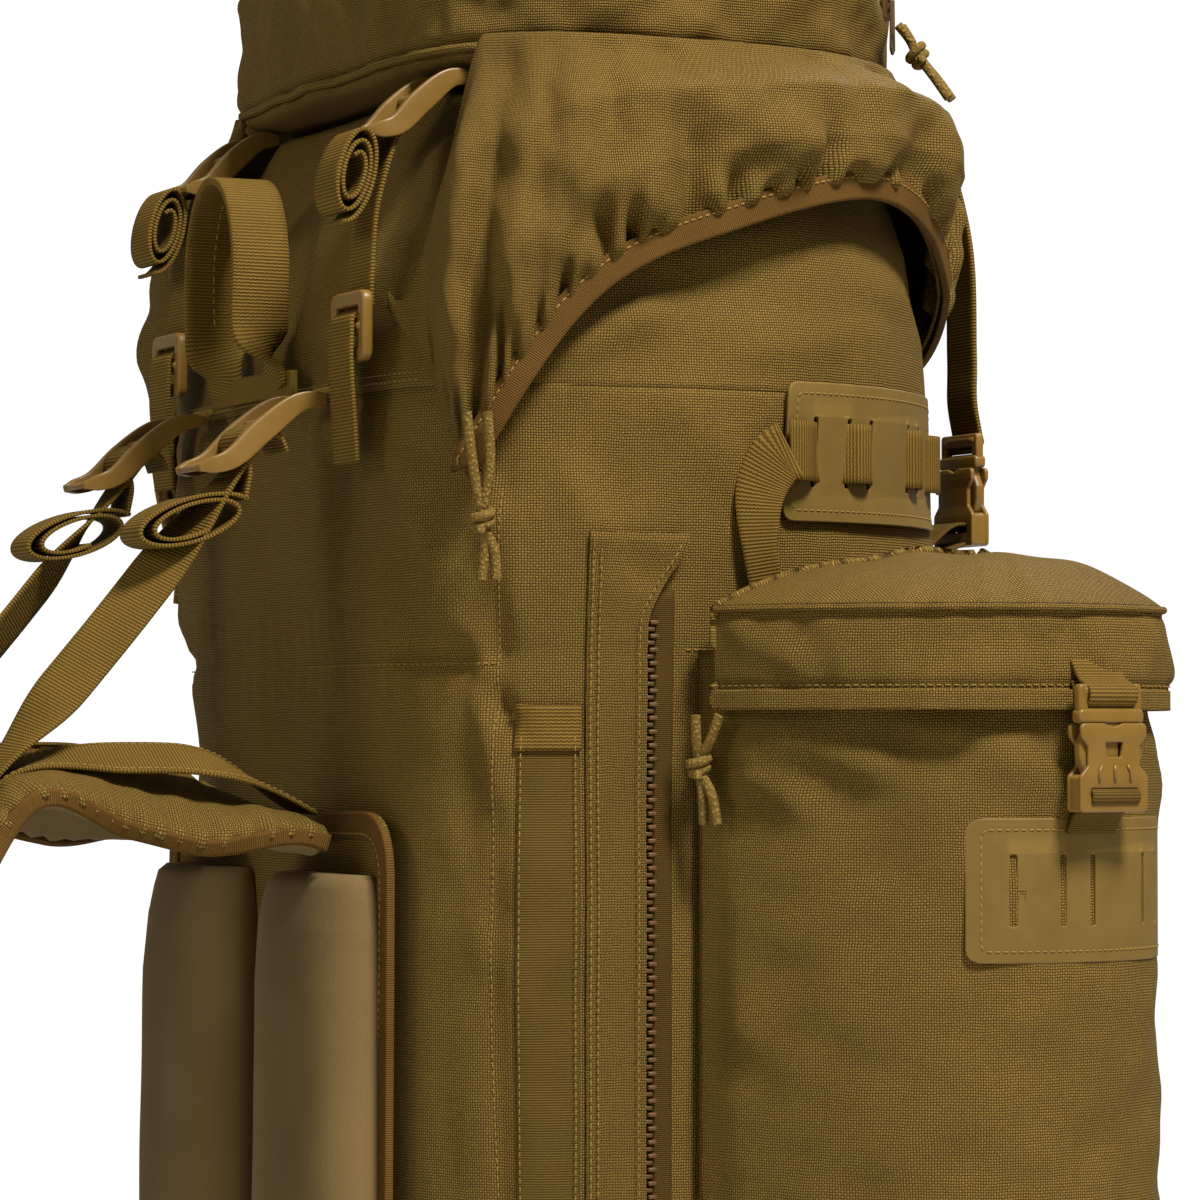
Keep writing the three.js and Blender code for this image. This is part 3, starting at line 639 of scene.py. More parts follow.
CLOTH_COLOUR = (0.140, 0.084, 0.0165)
M_CORDURA = woven("cordura", CLOTH_COLOUR, 0.00108)
M_BINDING = ribbed("binding", (0.118, 0.060, 0.0135), 0.9, 0.9, 0.3)
M_WEBBING = ribbed("webbing", (0.150, 0.088, 0.0165))
M_WEBBING_DARK = ribbed("webbing_dark", (0.108, 0.064, 0.0135), 1.0, 1.1, 0.45)
M_PATCH = moulded("patch", (0.140, 0.086, 0.0175), 0.48, 0.2, 0.05)
M_PLASTIC = moulded("plastic", (0.165, 0.088, 0.013), 0.36, 0.4, 0.012, 1.12)
M_ZIP_TEETH = moulded("zip_teeth", (0.075, 0.036, 0.01), 0.4, 0.4)
M_ZIP_TAPE = ribbed("zip_tape", (0.080, 0.043, 0.010), 0.8, 0.8, 0.35)
M_FOAM = knitted("foam", (0.160, 0.103, 0.038))
M_CORD = cord_material("cord", (0.235, 0.145, 0.033))
M_THREAD = moulded("thread", (0.190, 0.115, 0.026), 0.6, 0.12)
M_BOARD = moulded("board", (0.02, 0.02, 0.02), 0.6, 0.3)


def finish(obj, body, *nodes, slot=None):
    """Hands a finished piece to its body and hides the CAD nodes that it stands for. Its slot is not used.
    """
    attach(obj, body)
    if nodes:
        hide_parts(*nodes)
    return obj


def pair(obj, name, body, node=None, slot=None):
    """Finishes a left-hand piece and its right-hand mirror image."""
    other = mirrored(obj, f"{name}_right")
    obj.name = f"{name}_left"
    both = body in ("bag", "lid")
    for side, piece in (("left", obj), ("right", other)):
        finish(piece, body if both else f"{body}_{side}", *([f"{node}_{side}"] if node else []), slot=slot)
    return obj, other


def pair_across(obj, name, node):
    """A left-hand strap and its mirror image, each running between the bag and its shoulder strap, with its
    transform baked in and its CAD node hidden.
    """
    other = mirrored(obj, f"{name}_right")
    obj.name = f"{name}_left"
    for side, piece, sign in (("left", obj, 1), ("right", other, -1)):
        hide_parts(f"{node}_{side}")
        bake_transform(piece)


# ------------------------------------------------------------------ cords: camera and cords come first
CORD_DIAMETER = 4.0


def place_cord(name, points, body, node=None):
    """One strand of a doubled cord, hanging from its first point."""
    curve = bpy.data.curves.new(name, "CURVE")
    curve.dimensions = "3D"
    curve.bevel_depth = CORD_DIAMETER / 2 * MM
    curve.bevel_resolution = 4
    curve.use_fill_caps = True
    path = spline(points, 18)
    s = curve.splines.new("POLY")
    s.points.add(len(path) - 1)
    for p, q in zip(s.points, path):
        p.co = (*(q * MM), 1)
    curve.materials.append(M_CORD)
    obj = bpy.data.objects.new(name, curve)
    bpy.context.scene.collection.objects.link(obj)
    finish(obj, body, *([node] if node else []))
    return obj


def knot_piece(name, centre, direction, body):
    """An overhand knot in the doubled cord: a short turn wound twice round its middle."""
    t = np.linspace(0, 1, 60)
    turn = 2 * np.pi * 2.1 * t
    r = 3.3 + 0.5 * np.sin(2 * np.pi * t)
    along = (t - 0.5) * 7.5
    z = np.array(direction, float) / np.linalg.norm(direction)
    x = unit(np.cross(z, [0.3, 0.9, 0.1]))
    y = np.cross(z, x)
    path = np.array(centre) + x * (
        r * np.cos(turn)
    )[:, None] + y * (r * np.sin(turn))[:, None] + z * along[:, None]
    coil = tube(name + "_coil", path, 2.0, M_CORD, 9)
    t = np.linspace(0, 1, 30)
    cross = np.array(centre) + z * ((t - 0.5) * 9)[:, None] + (
        x * 4.6 + y * 1.4
    ) * np.cos(np.pi * t)[:, None]
    over = tube(name + "_over", cross, 1.9, M_CORD, 9)
    knot = merged(name, [coil, over])
    return finish(knot, body, slot="cord")


CORDS = {
    "hood_cord": (
        "lid",
        (-178, 105, 586),
        [(-181, 113, 628), (-180, 110, 608), (-178, 105, 586), (-176, 103, 575), (-175, 104, 563)],
        [(-185, 106, 628), (-183, 104, 608), (-178, 105, 586), (-178, 100, 575), (-178, 99, 563)],
    ),
    "pouch_cord": (
        "bag",
        (-194.5, 19, 490),
        [(-197.5, 22, 510), (-196.5, 21, 500), (-194.5, 19, 490), (-195.5, 18, 479), (-194.5, 17, 467)],
        [(-204.5, 15, 510), (-200.5, 17, 500), (-194.5, 19, 490), (-199.5, 16, 479), (-200.5, 14, 467)],
    ),
    "lid_zip_cord": (
        "lid_zip",
        (-121, -121, 790),
        [(-118, -113, 803), (-119, -118, 797), (-121, -121, 790), (-125, -128, 780), (-129, -133, 771)],
        [(-113, -118, 803), (-118, -119, 797), (-121, -121, 790), (-128, -125, 780), (-133, -129, 771)],
    ),
}
for cord_name, (cord_body, knot, first, second) in CORDS.items():
    for side in ("left", "right") if cord_name != "lid_zip_cord" else ("",):
        flip = np.array([-1 if side == "right" else 1, 1, 1])
        tail = f"_{side}" if side else ""
        node = cord_name + tail
        down = np.array(first[-1]) - np.array(first[1])
        tie = knot_piece(f"{cord_name}_knot{tail}", np.array(knot) * flip, down * flip, cord_body)
        for strand, points in (("a", first), ("b", second)):
            place_cord(
                f"{cord_name}_{strand}{tail}", np.array(points) * flip, cord_body,
                node if strand == "a" else None,
            )


# ------------------------------------------------------------------ main bag and collar
GIRTH_ANGLE = np.linspace(0, 2 * np.pi, 721)
_gx, _gy = outline((179.0, 120.0, 150.0, 3.0), GIRTH_ANGLE)
GIRTH = np.concatenate([[0], np.cumsum(np.hypot(np.diff(_gx), np.diff(_gy)))])
GIRTH = GIRTH - np.interp(np.pi, GIRTH_ANGLE, GIRTH)


def girth(angle):
    """Distance round the bag from the middle of its left side, positive towards the front."""
    return np.interp(np.mod(angle, 2 * np.pi), GIRTH_ANGLE, GIRTH)


def left_angle(angle):
    """The same place on the left half of the bag."""
    a = np.mod(angle, 2 * np.pi)
    return np.where((a > np.pi / 2) & (a < 1.5 * np.pi), a, np.mod(np.pi - a, 2 * np.pi))


def on_body(angle, z, off=0.0):
    """A place on the bag's smooth outline, off millimetres outwards."""
    angle, z = np.broadcast_arrays(np.asarray(angle, float), np.asarray(z, float))
    size = size_at(BODY, z)
    x, y = outline(size, angle)
    n = outline_normal(size, angle)
    p = np.stack([x + n[..., 0] * off, y + n[..., 1] * off, z], -1)
    return p


def body_normal(angle, z):
    """The bag's outward direction at a place."""
    angle, z = np.broadcast_arrays(np.asarray(angle, float), np.asarray(z, float))
    n = outline_normal(size_at(BODY, z), angle)
    return np.concatenate([n, np.zeros((*n.shape[:-1], 1))], -1)


wide_waves = Waves(11, 70, 240)
small_waves = Waves(12, 24, 60)
# Folds pressed into the cloth: start and end as (girth, height), width and height. Negative is a crease.
BAG_FOLDS = [
    ((-128, 560), (-96, 520), 7, 2.6), ((-120, 548), (-84, 500), 5, -2.6),
    ((-146, 600), (-112, 556), 9, 2.2), ((-104, 530), (-92, 470), 6, 2.4),
    ((-150, 535), (-104, 528), 6, -2.2), ((-96, 600), (-86, 540), 7, 2.0),
    ((-70, 610), (-46, 560), 8, 1.8), ((-60, 575), (-20, 560), 8, -1.6), ((-84, 470), (-86, 380), 9, 1.8),
    ((-106, 500), (-112, 430), 8, -1.8), ((-30, 640), (10, 600), 12, 1.5),
    ((-170, 620), (-120, 600), 9, 1.8), ((-120, 470), (-100, 410), 8, 1.6), ((0, 655), (60, 662), 9, 1.5),
    ((-72, 650), (-30, 672), 8, 1.8), ((-90, 440), (-76, 330), 11, 1.4),
    ((-126, 420), (-120, 300), 10, -1.4), ((-92, 300), (-84, 120), 12, 1.6),
    ((60, 690), (120, 680), 9, 1.6), ((-50, 690), (30, 705), 10, 1.4),
]


def bag_relief(angle, z):
    """How far the cloth of bag and collar stands off its smooth outline."""
    left = left_angle(angle)
    s = girth(left)
    side = np.where(np.cos(angle) < 0, 1.0, 0.0)
    full = girth(angle)
    # Under the zips and strips both sides lie alike, because those pieces are mirror copies.
    alike = ramp(s, -125, -98) * ramp(-s, -20, 5)
    side = np.maximum(side, alike)

    def waves(at):
        return 1.9 * wide_waves(at, z) + 0.45 * small_waves(at, z)

    height = waves(full) * (1 - alike) + waves(s) * alike
    for start, end, width, size in BAG_FOLDS:
        height = height + 2.1 * fold(s, z, start, end, width, size) * (0.8 + 0.2 * side)
    # Quiet where things lie on the cloth.
    panel = ramp(np.sin(angle), 0.45, 0.7) * ramp(-z, -500, -470)
    fittings = bump(s, -30, 52) * ramp(-z, -575, -545)
    patch = bump(s, 84, 70) * bump(z, 616, 42)
    pouch = ramp(s, -18, 10) * ramp(-s, -210, -190) * ramp(-z, -585, -565)
    calm = np.clip(1 - np.maximum.reduce([panel, 0.85 * fittings, patch, 0.9 * pouch]), 0, 1)
    height = height * calm
    # Drawn in along the sewn seams.
    for seam, rest in ((534, 0.4), (638, 0.0)):
        height = height - 1.5 * bump(z, seam, 3.5) * (rest + (1 - rest) * ramp(-s, 60, 100))
    seam_at = -92 + 3 * np.sin(z / 90)
    height = height - 1.6 * bump(s, seam_at, 3.2) * ramp(-z, -622, -600)
    # Puckers along the seams.
    pucker = np.sin(2 * np.pi * full / 13 + 2 * np.sin(full / 31)) * (
        bump(z, 545, 9) + bump(z, 523, 8) + bump(z, 628, 8)
    )
    return height + 0.45 * pucker * np.where(s < -95, 1.0, 0.25)


def body_surface(angle, z, off=0.0):
    """A place on the cloth as it lies, with its folds."""
    return on_body(angle, z, bag_relief(angle, z) + off)


def bag_shell(name, heights, columns=420):
    angle = np.linspace(0, 2 * np.pi, columns, endpoint=False)
    a, z = np.meshgrid(angle, heights)
    grid = on_body(a, z, bag_relief(a, z))
    edge = np.concatenate([girth(angle) - GIRTH[0], [GIRTH[-1] - GIRTH[0]]])
    u, v = np.meshgrid(edge, heights)
    return grid_object(name, grid, u, v, True, M_CORDURA), grid


heights = np.concatenate([np.linspace(0, 40, 12), np.linspace(44, 640.6, 150)])
shell, bag_grid = bag_shell("main_bag_cloth", heights)
# The bottom panel, drawn in towards its middle and sagging a little.
share = np.linspace(1, 0.02, 14)[:, None, None]
floor = bag_grid[0][None] * np.array([1, 1, 0]) * share + np.array([0, 0, 0.6]) * (1 - share)
floor_u, floor_v = floor[..., 0], floor[..., 1]
wrap_u = np.concatenate([floor_u, floor_u[:, :1]], 1)
wrap_v = np.concatenate([floor_v, floor_v[:, :1]], 1)
bottom = grid_object("bottom_panel", floor, wrap_u, wrap_v, True, M_CORDURA, flip=True)
solidify(shell, 2.4)
solidify(bottom, 2.0, -1)
main_bag = merged("main_bag_shell", [shell, bottom])
finish(main_bag, "bag", "main_bag", slot="cordura")

collar, _ = bag_shell("snow_collar_cloth", np.linspace(639.4, 766, 48))
solidify(collar, 2.2)
finish(collar, "bag", "snow_collar", slot="cordura")


# ------------------------------------------------------------------ hood of the lid
HOOD_EDGE = [
    (135, 672), (142, 650), (147.5, 603), (162, 676), (180, 706), (200, 722), (216, 712), (230, 688),
    (250, 664), (270, 658)
]
HOOD_TOP = 783


def folded_left(degrees):
    """The same place on the left half, in degrees."""
    return np.where(degrees > 270, 540 - degrees, degrees)


def hood_edge(degrees):
    """Height of the hood's bound edge."""
    folded = folded_left(degrees)
    rows = np.array(HOOD_EDGE, float)
    # A smooth arch through the rows, with the sharp corner at the rear kept.
    out = np.interp(folded, rows[:, 0], rows[:, 1])
    shape = spline([(a, 0, z) for a, z in HOOD_EDGE[2:]], 400)
    return np.where(folded >= 147.5, np.interp(folded, shape[:, 0], shape[:, 2]), out)


class Gathers:
    """Creases that start at the hood's bound edge and run up, fading.

    Each has its place along the edge, length, slant, width and depth.
    """

    def __init__(self, seed, length):
        r = np.random.default_rng(seed)
        at = 3.0
        rows = []
        while at < length:
            long = r.uniform() < 0.22
            reach = r.uniform(0.55, 0.98) if long else r.uniform(0.12, 0.42)
            rows.append(
                (
                    at, reach, r.normal(0, 16), r.uniform(1.8, 3.4) * (1.4 if long else 1),
                    r.uniform(0.7, 1.15)
                )
            )
            at += r.uniform(8, 18)
        self.rows = rows

    def __call__(self, s, t):
        """Height at s mm along the edge and share t up the hood: 0 in a crease, 1 between creases."""
        low = np.ones(np.broadcast(s, t).shape)
        for at, reach, slant, width, depth in self.rows:
            w = width * (1 + 3.2 * t)
            fade = ramp(-t, -reach, -reach * 0.25)
            low = low - depth * fade * np.exp(-(((s - at - slant * t) / w) ** 2))
        return np.clip(low, -0.4, 1)


hood_waves = Waves(21, 30, 110)
hood_fine = Waves(22, 12, 34)


def hood_reach(t):
    """How far the hood stands off the bag, from its seam at t = 0 to its edge at 1."""
    return np.interp(t, [0, 0.3, 0.62, 1], [0, 13, 14, 2])


def hood_surface(degrees, t, gathers, edge_length):
    """The hood's cloth: t runs from 0 at the lid's seam to 1 at the bound edge."""
    edge = hood_edge(degrees)
    turned = folded_left(degrees)
    # Behind the corner the cloth narrows to a low tongue, so that the lever lock stands clear of it.
    inside = ramp(turned, 136, 148)
    top = edge + 8 + (HOOD_TOP - edge - 8) * inside
    z = top + (edge - top) * t
    top_size = size_at(LID, np.full_like(z, HOOD_TOP))
    low_size = size_at(BODY, np.minimum(z, 668))
    k = np.maximum(ramp(t, 0.0, 0.3), 1 - inside)
    size = [a * (1 - k) + b * k for a, b in zip(top_size, low_size)]
    reach = 1.2 * (1 - k) + k * (4.5 + hood_reach(t) - np.maximum(0, z - 690) * 0.18)
    angle = degrees * DEG
    x, y = outline(size, angle)
    s = edge_length(degrees)
    up = 1 - t
    puff = gathers(s, up)
    body = np.sin(np.pi * np.clip(up, 0, 1)) ** 0.7
    height = 13.5 * (puff - 0.45) * np.clip(body + 0.35, 0, 1) * ramp(up, 0.03, 0.11)
    for at, wide, deep in (
        (150.5, 2.0, 7), (156, 1.6, 5), (163, 2.2, 5), (172, 2.2, 4), (196, 2.6, 4), (224, 2.6, 4),
        (318, 2.6, 5)
    ):
        crease = at + 3 * (up - 0.5)
        height = height - deep * bump(degrees, crease, wide) * ramp(up, 0.05, 0.3) * ramp(-up, -1.0, -0.9)
    height = height + (
        2.6 * hood_waves(s, z) + 0.6 * hood_fine(s, z)
    ) * ramp(up, 0.05, 0.3) * ramp(-up, -1.0, -0.86)
    height = np.maximum(height, -6.5)
    reach = reach + height + 3.0
    flat = ramp(turned, 140.5, 147.5)
    reach = reach * (0.12 + 0.88 * flat) + 1.2 * (1 - flat)
    radius = np.hypot(x, y)
    return np.stack([x * (1 + reach / radius), y * (1 + reach / radius), z], -1)


hood_degrees = np.concatenate(
    [np.linspace(135, 147.5, 36), np.linspace(147.5, 392.5, 640)[1:], np.linspace(392.5, 405, 36)[1:]]
)
edge_points = on_body(hood_degrees * DEG, hood_edge(hood_degrees), 5)
edge_arc = arc(edge_points, False)
edge_length = lambda d: np.interp(d, hood_degrees, edge_arc)
gathers = Gathers(5, edge_arc[-1])
share = np.concatenate([np.linspace(0, 0.9, 46), np.linspace(0.9, 1, 10)[1:]])
d, t = np.meshgrid(hood_degrees, share)
hood_grid = hood_surface(d, t, gathers, edge_length)
# One more row turns in under the lid, where the hood is sewn to it.
tuck = 0.5 + 8.5 * ramp(folded_left(hood_degrees), 143, 148)
tucked = hood_grid[:1] - unit(hood_grid[:1] * np.array([1, 1, 0])) * tuck[:, None]
hood_grid = np.concatenate([tucked, hood_grid])
u = np.broadcast_to(edge_arc, hood_grid.shape[:2])
v = HOOD_TOP - hood_grid[..., 2]
hood = grid_object("lid_hood_cloth", hood_grid, u, v, False, M_CORDURA, flip=True)
solidify(hood, 1.6)
finish(hood, "lid", "lid_hood", slot="cordura")

# The bound edge and its stitching.
edge_row = hood_grid[-1]
outwards = unit(edge_row * np.array([1, 1, 0]))
keep = slice(34, len(edge_row) - 34)
bound = edge_row[keep] + outwards[keep] * 2.6
tangent = unit(np.gradient(bound, axis=0))
across = unit(np.cross(tangent, outwards[keep]))
across = across * np.sign(across[:, 2:3])
centre = bound + across * 3.5
binding = ribbon("hood_binding", centre, 11.5, 3.0, across, M_BINDING)
finish(binding, "lid", slot="webbing")
seam = stitches(
    "hood_binding_stitch", centre + across * 3.4 + outwards[keep] * 1.65, outwards[keep], M_THREAD, 3.4,
    2.5, 0.42
)
finish(seam, "lid", slot="cordura")


# ------------------------------------------------------------------ lid pocket
lid_waves = Waves(31, 40, 150)
lid_fine = Waves(32, 14, 40)
LID_FOLDS = [
    ((-105, 800), (-70, 830), 9, 3.0), ((-96, 792), (-98, 845), 5, -3.0),
    ((-60, 790), (-20, 812), 10, 2.4), ((-40, 830), (40, 815), 12, 2.6), ((30, 790), (80, 830), 9, 2.6),
    ((60, 820), (150, 800), 11, 2.4), ((-160, 800), (-110, 812), 8, 2.4),
    ((-150, 835), (-110, 825), 8, -2.2), ((120, 790), (190, 826), 10, 2.4),
    ((-10, 786), (20, 806), 7, 2.0), ((-200, 790), (-170, 830), 9, 2.2),
]
lid_angle = np.linspace(0, 2 * np.pi, 360, endpoint=False)
profile = spline(
    [
        (0.006, 0, 771.5), (0.6, 0, 771.5), (0.93, 0, 772.4), (1.0, 0, 781), (1.003, 0, 800),
        (1.003, 0, 818), (0.995, 0, 834), (0.94, 0, 846), (0.8, 0, 853), (0.6, 0, 857.5), (0.3, 0, 860.5),
        (0.006, 0, 861)
    ],
    96
)
a, i = np.meshgrid(lid_angle, np.arange(len(profile)))
z = profile[i, 2]
scale = profile[i, 0]
full = (158.0, 104.0, 135.0, 2.4)
x, y = outline(full, a)
n = outline_normal(full, a)
s = girth(a)
side = ramp(scale, 0.7, 0.97)
relief = (2.4 * lid_waves(s, z) + 0.5 * lid_fine(s, z)) * side
for start, end, width, size in LID_FOLDS:
    relief = relief + 1.5 * fold(s, z, start, end, width, size) * side
relief = relief - 2.0 * bump(z, 781, 3.0) * side - 1.6 * bump(z, 835, 4.0) * side
corner = girth(np.array([226.0, 314.0, 40.0, 140.0]) * DEG)
for c in corner:
    relief = relief - 1.6 * bump(s, c, 3.5) * side
grid = np.stack([x * scale + n[..., 0] * relief, y * scale + n[..., 1] * relief, z + 0 * x], -1)
top = ramp(-scale, -0.97, -0.5) * (z > 800)
grid[..., 2] += top * (2.0 * lid_waves(grid[..., 0], grid[..., 1]) - 1.5)
u = np.concatenate([s, s[:, :1] * 0 + s[:, -1:] + 3], 1) + 600
v = np.repeat(arc(grid[:, 0], False)[:, None], len(lid_angle) + 1, 1)
lid = grid_object("lid_pocket_cloth", grid, u, v, True, M_CORDURA)
close_holes(lid)
finish(lid, "lid", "lid_pocket", slot="cordura")
seam_row = grid[int(np.argmin(np.abs(profile[:, 2] - 779) + 50 * (profile[:, 0] < 0.95)))]
seam_row = np.vstack(
    [seam_row, seam_row[:1]]
) + np.vstack([n[0], n[0][:1]])[:, [0, 1, 1]] * np.array([1.6, 1.6, 0])
lid_seam = tube("lid_seam_piping", seam_row, 2.0, M_CORDURA, 8)
finish(lid_seam, "lid", slot="cordura")


# ------------------------------------------------------------------ side pouches
SIDE_ANGLE = 205.7 * DEG
POUCH_BASE = np.array([*outline(size_at(BODY, 300), SIDE_ANGLE)])
OUTWARD = np.array([-0.92738, -0.37415])
FORWARD = np.array([0.37415, -0.92738])
POUCH_HALF, POUCH_PROUD, POUCH_POWER = 94, 112, 2.7
POUCH_LID_GROW = 6.5  # the lid is this much larger all round
FRONT_COLUMNS = 150
PATCH_HEIGHT_ON_POUCH = 442
_a = np.linspace(160, 255, 400) * DEG
_p = np.stack(outline(size_at(BODY, 300), _a), -1) - POUCH_BASE
_order = np.argsort(_p @ FORWARD)
BAG_ALONG, BAG_OUT = (_p @ FORWARD)[_order], (_p @ OUTWARD)[_order]


def bag_out(along):
    """The bag's surface behind the pouch, as a distance outwards."""
    return np.interp(along, BAG_ALONG, BAG_OUT)


def pouch_point(along, out, z):
    """A point from its place along the bag's side, its distance outwards and its height."""
    p = POUCH_BASE + np.multiply.outer(along, FORWARD) + np.multiply.outer(out, OUTWARD)
    return np.concatenate([p, np.broadcast_to(np.asarray(z, float), along.shape)[..., None]], -1)


def pouch_swell(along, half):
    """The pouch's rounded outline, from 0 at its edges to 1 in the middle."""
    return np.maximum(1 - np.abs(along / half) ** POUCH_POWER, 0) ** (1 / POUCH_POWER)


def pouch_front(share, z, grow=0.0, clear=5.0, scale=1.0, push=0.0):
    """The pouch's outer face: share runs 0 to 1 from its back edge to its front edge."""
    half = POUCH_HALF * scale + grow
    along = -half * np.cos(share * np.pi)
    out = bag_out(along) + clear + 1.5 + (POUCH_PROUD * scale + grow - clear) * pouch_swell(along, half)
    flat = pouch_point(along, out, z)
    middle = pouch_point(np.zeros_like(along), np.full_like(along, 45.0), z)
    lean = unit((flat - middle) * np.array([1, 1, 0]))
    return flat + lean * np.asarray(push)[..., None]


def pouch_loop(z, grow=0.0, clear=5.0, scale=1.0, front=FRONT_COLUMNS, back=60, relief=None):
    """A closed loop round the pouch: its outer face, then its back along the bag."""
    share = np.linspace(0, 1, front)
    push = relief(share, z) if relief else np.zeros(front)
    face = pouch_front(share, np.full(front, float(z)), grow, clear, scale, push)
    half = POUCH_HALF * scale + grow
    along = half * np.cos(np.linspace(0, np.pi, back + 2)[1:-1])
    rear = pouch_point(along, bag_out(along) + clear, np.full(back, float(z)))
    return np.concatenate([face, rear])


pouch_waves = Waves(41, 60, 210)
pouch_fine = Waves(42, 22, 60)
POUCH_FOLDS = [
    ((8, 508), (58, 470), 8, 3.2), ((30, 506), (92, 486), 7, 2.4), ((6, 470), (20, 380), 12, 2.2),
    ((120, 500), (170, 470), 10, 2.6), ((200, 508), (236, 470), 9, 2.4), ((150, 505), (140, 460), 8, -1.8),
    ((12, 360), (22, 200), 14, 2.0), ((262, 440), (268, 260), 12, 2.0), ((60, 430), (90, 330), 16, 1.2),
    ((244, 500), (262, 420), 9, -2.0), ((40, 120), (120, 108), 10, 1.8), ((180, 112), (250, 130), 10, 1.6),
    ((80, 500), (118, 494), 5, -1.6), ((14, 494), (44, 488), 4, -1.8),
]
FRONT_SHARE = np.linspace(0, 1, FRONT_COLUMNS)
front_row = pouch_front(FRONT_SHARE, np.full(FRONT_COLUMNS, 300.0))
FRONT_ARC = arc(front_row, False)


def pouch_relief(share, z):
    """Folds and waves of the pouch's cloth."""
    s = np.interp(share, FRONT_SHARE, FRONT_ARC)
    height = 1.8 * pouch_waves(s, z) + 0.9 * pouch_fine(s, z)
    for start, end, width, size in POUCH_FOLDS:
        height = height + 1.7 * fold(s, z, start, end, width, size)
    patch = bump(s, FRONT_ARC[-1] / 2, 78) * bump(z, PATCH_HEIGHT_ON_POUCH, 40)
    height = height * np.clip(1 - 0.95 * patch, 0, 1)
    edge = ramp(share, 0, 0.05) * ramp(-share, -1, -0.95)
    height = height * edge
    height = height - 2.0 * bump(z, 84, 5)
    return height + 2.2 * edge * np.sin(np.pi * np.clip((z - 75) / 440, 0, 1)) ** 0.6


rows, loops = [], []
for z, scale in [
    (75, 0.86), (77, 0.91), (81, 0.955), (87, 0.985)
] + [(h, 1.0) for h in np.linspace(93, 536, 100)]:
    loops.append(pouch_loop(z, 0, 5, scale, relief=pouch_relief))
pouch_grid = np.array(loops)
u, v = grid_uv(pouch_grid, True, 40)
pouch_cloth = grid_object("pouch_cloth", pouch_grid, u, v, True, M_CORDURA)
solidify(pouch_cloth, 2.2)
middle = pouch_grid[0].mean(0)
share = np.linspace(1, 0.03, 10)[:, None, None]
base = middle + (pouch_grid[0] - middle)[None] * share
bu = np.concatenate([base[..., 0], base[:, :1, 0]], 1)
bv = np.concatenate([base[..., 1], base[:, :1, 1]], 1)
pouch_base = grid_object("pouch_base", base, bu, bv, True, M_CORDURA, flip=True)
solidify(pouch_base, 2.0, 1)
pouch = merged("pouch_shell", [pouch_cloth, pouch_base])
pair(pouch, "pouch_shell", "bag", "pouch", slot="cordura")

# The pouch's lid: a hem, a skirt, a corded seam and a domed top.
lid_rim_waves = Waves(51, 40, 160)
lid_rim_fine = Waves(52, 14, 40)
POUCH_LID_FOLDS = [
    ((20, 548), (60, 526), 7, 2.2), ((90, 520), (140, 528), 9, 1.8), ((190, 545), (230, 522), 9, 2.0),
    ((250, 530), (290, 545), 8, 1.8), ((150, 548), (165, 518), 8, -1.4),
]


def lid_relief(share, z):
    """Folds, waves and stitched grooves of the pouch lid's skirt."""
    s = np.interp(share, FRONT_SHARE, FRONT_ARC)
    height = 1.3 * lid_rim_waves(s, z) + 0.6 * lid_rim_fine(s, z)
    for start, end, width, size in POUCH_LID_FOLDS:
        height = height + 1.5 * fold(s, z, start, end, width, size)
    height = height * ramp(share, 0, 0.06) * ramp(-share, -1, -0.94)
    return height - 1.1 * bump(z, 521.5, 1.6) + 0.7 * bump(z, 515.5, 3.4) - 1.0 * bump(z, 549, 2.0)


def lid_loop(z):
    """A loop round the pouch's lid at a height."""
    loop = pouch_loop(z, POUCH_LID_GROW, 5, 1.0, relief=lid_relief)
    out = (loop[:, :2] - POUCH_BASE) @ OUTWARD
    short = np.maximum(-8.0 - out, 0)
    loop[:, :2] += np.outer(short, OUTWARD)
    return loop


skirt = [lid_loop(z) for z in np.concatenate([np.linspace(513, 530, 14), np.linspace(532, 552, 12)])]
seam_loop = skirt[-1]
middle = seam_loop.mean(0)
crown = []
dome_waves = Waves(53, 30, 110)
for k in np.linspace(0.985, 0.02, 30):
    loop = middle + (seam_loop - middle) * k
    rise = 22.5 * (1 - k**2.6)
    loop[:, 2] = 552.6 + rise + 1.5 * dome_waves(loop[:, 0], loop[:, 1]) * (1 - k) * 1.2
    loop[:, 2] = np.minimum(loop[:, 2], 577)
    crown.append(loop)
lid_grid = np.array(skirt + crown)
u, v = grid_uv(lid_grid, True, 5)
cu = np.concatenate([lid_grid[..., 0], lid_grid[:, :1, 0]], 1)
cv = np.concatenate([lid_grid[..., 1], lid_grid[:, :1, 1]], 1)
u[len(skirt):], v[len(skirt):] = cu[len(skirt):], cv[len(skirt):]
pouch_lid = grid_object("pouch_lid_cloth", lid_grid, u, v, True, M_CORDURA)
solidify(pouch_lid, 2.0)
pair(pouch_lid, "pouch_lid_shell", "pouch_lid", "pouch_lid", slot="cordura")
hem = np.array([lid_loop(z)[:FRONT_COLUMNS] for z in (512.2, 519.4)])
hem_out = unit((hem[0] - middle) * np.array([1, 1, 0]))
hem_band = ribbon(
    "pouch_hem", hem.mean(0) + hem_out * 1.0, 8.0, 1.6, np.array([0.0, 0.0, 1.0]), M_CORDURA)
pair(hem_band, "pouch_hem", "pouch_lid", slot="cordura")
hem_line = lid_loop(521.4)[:FRONT_COLUMNS] + hem_out * 0.5
pair(
    stitches("pouch_hem_stitch", hem_line, hem_out, M_THREAD), "pouch_hem_stitch", "pouch_lid",
    slot="cordura"
)
piping = tube("pouch_piping", lid_loop(551.6)[:FRONT_COLUMNS] + hem_out * 0.3, 1.5, M_CORDURA, 8)
pair(piping, "pouch_piping", "pouch_lid", slot="cordura")


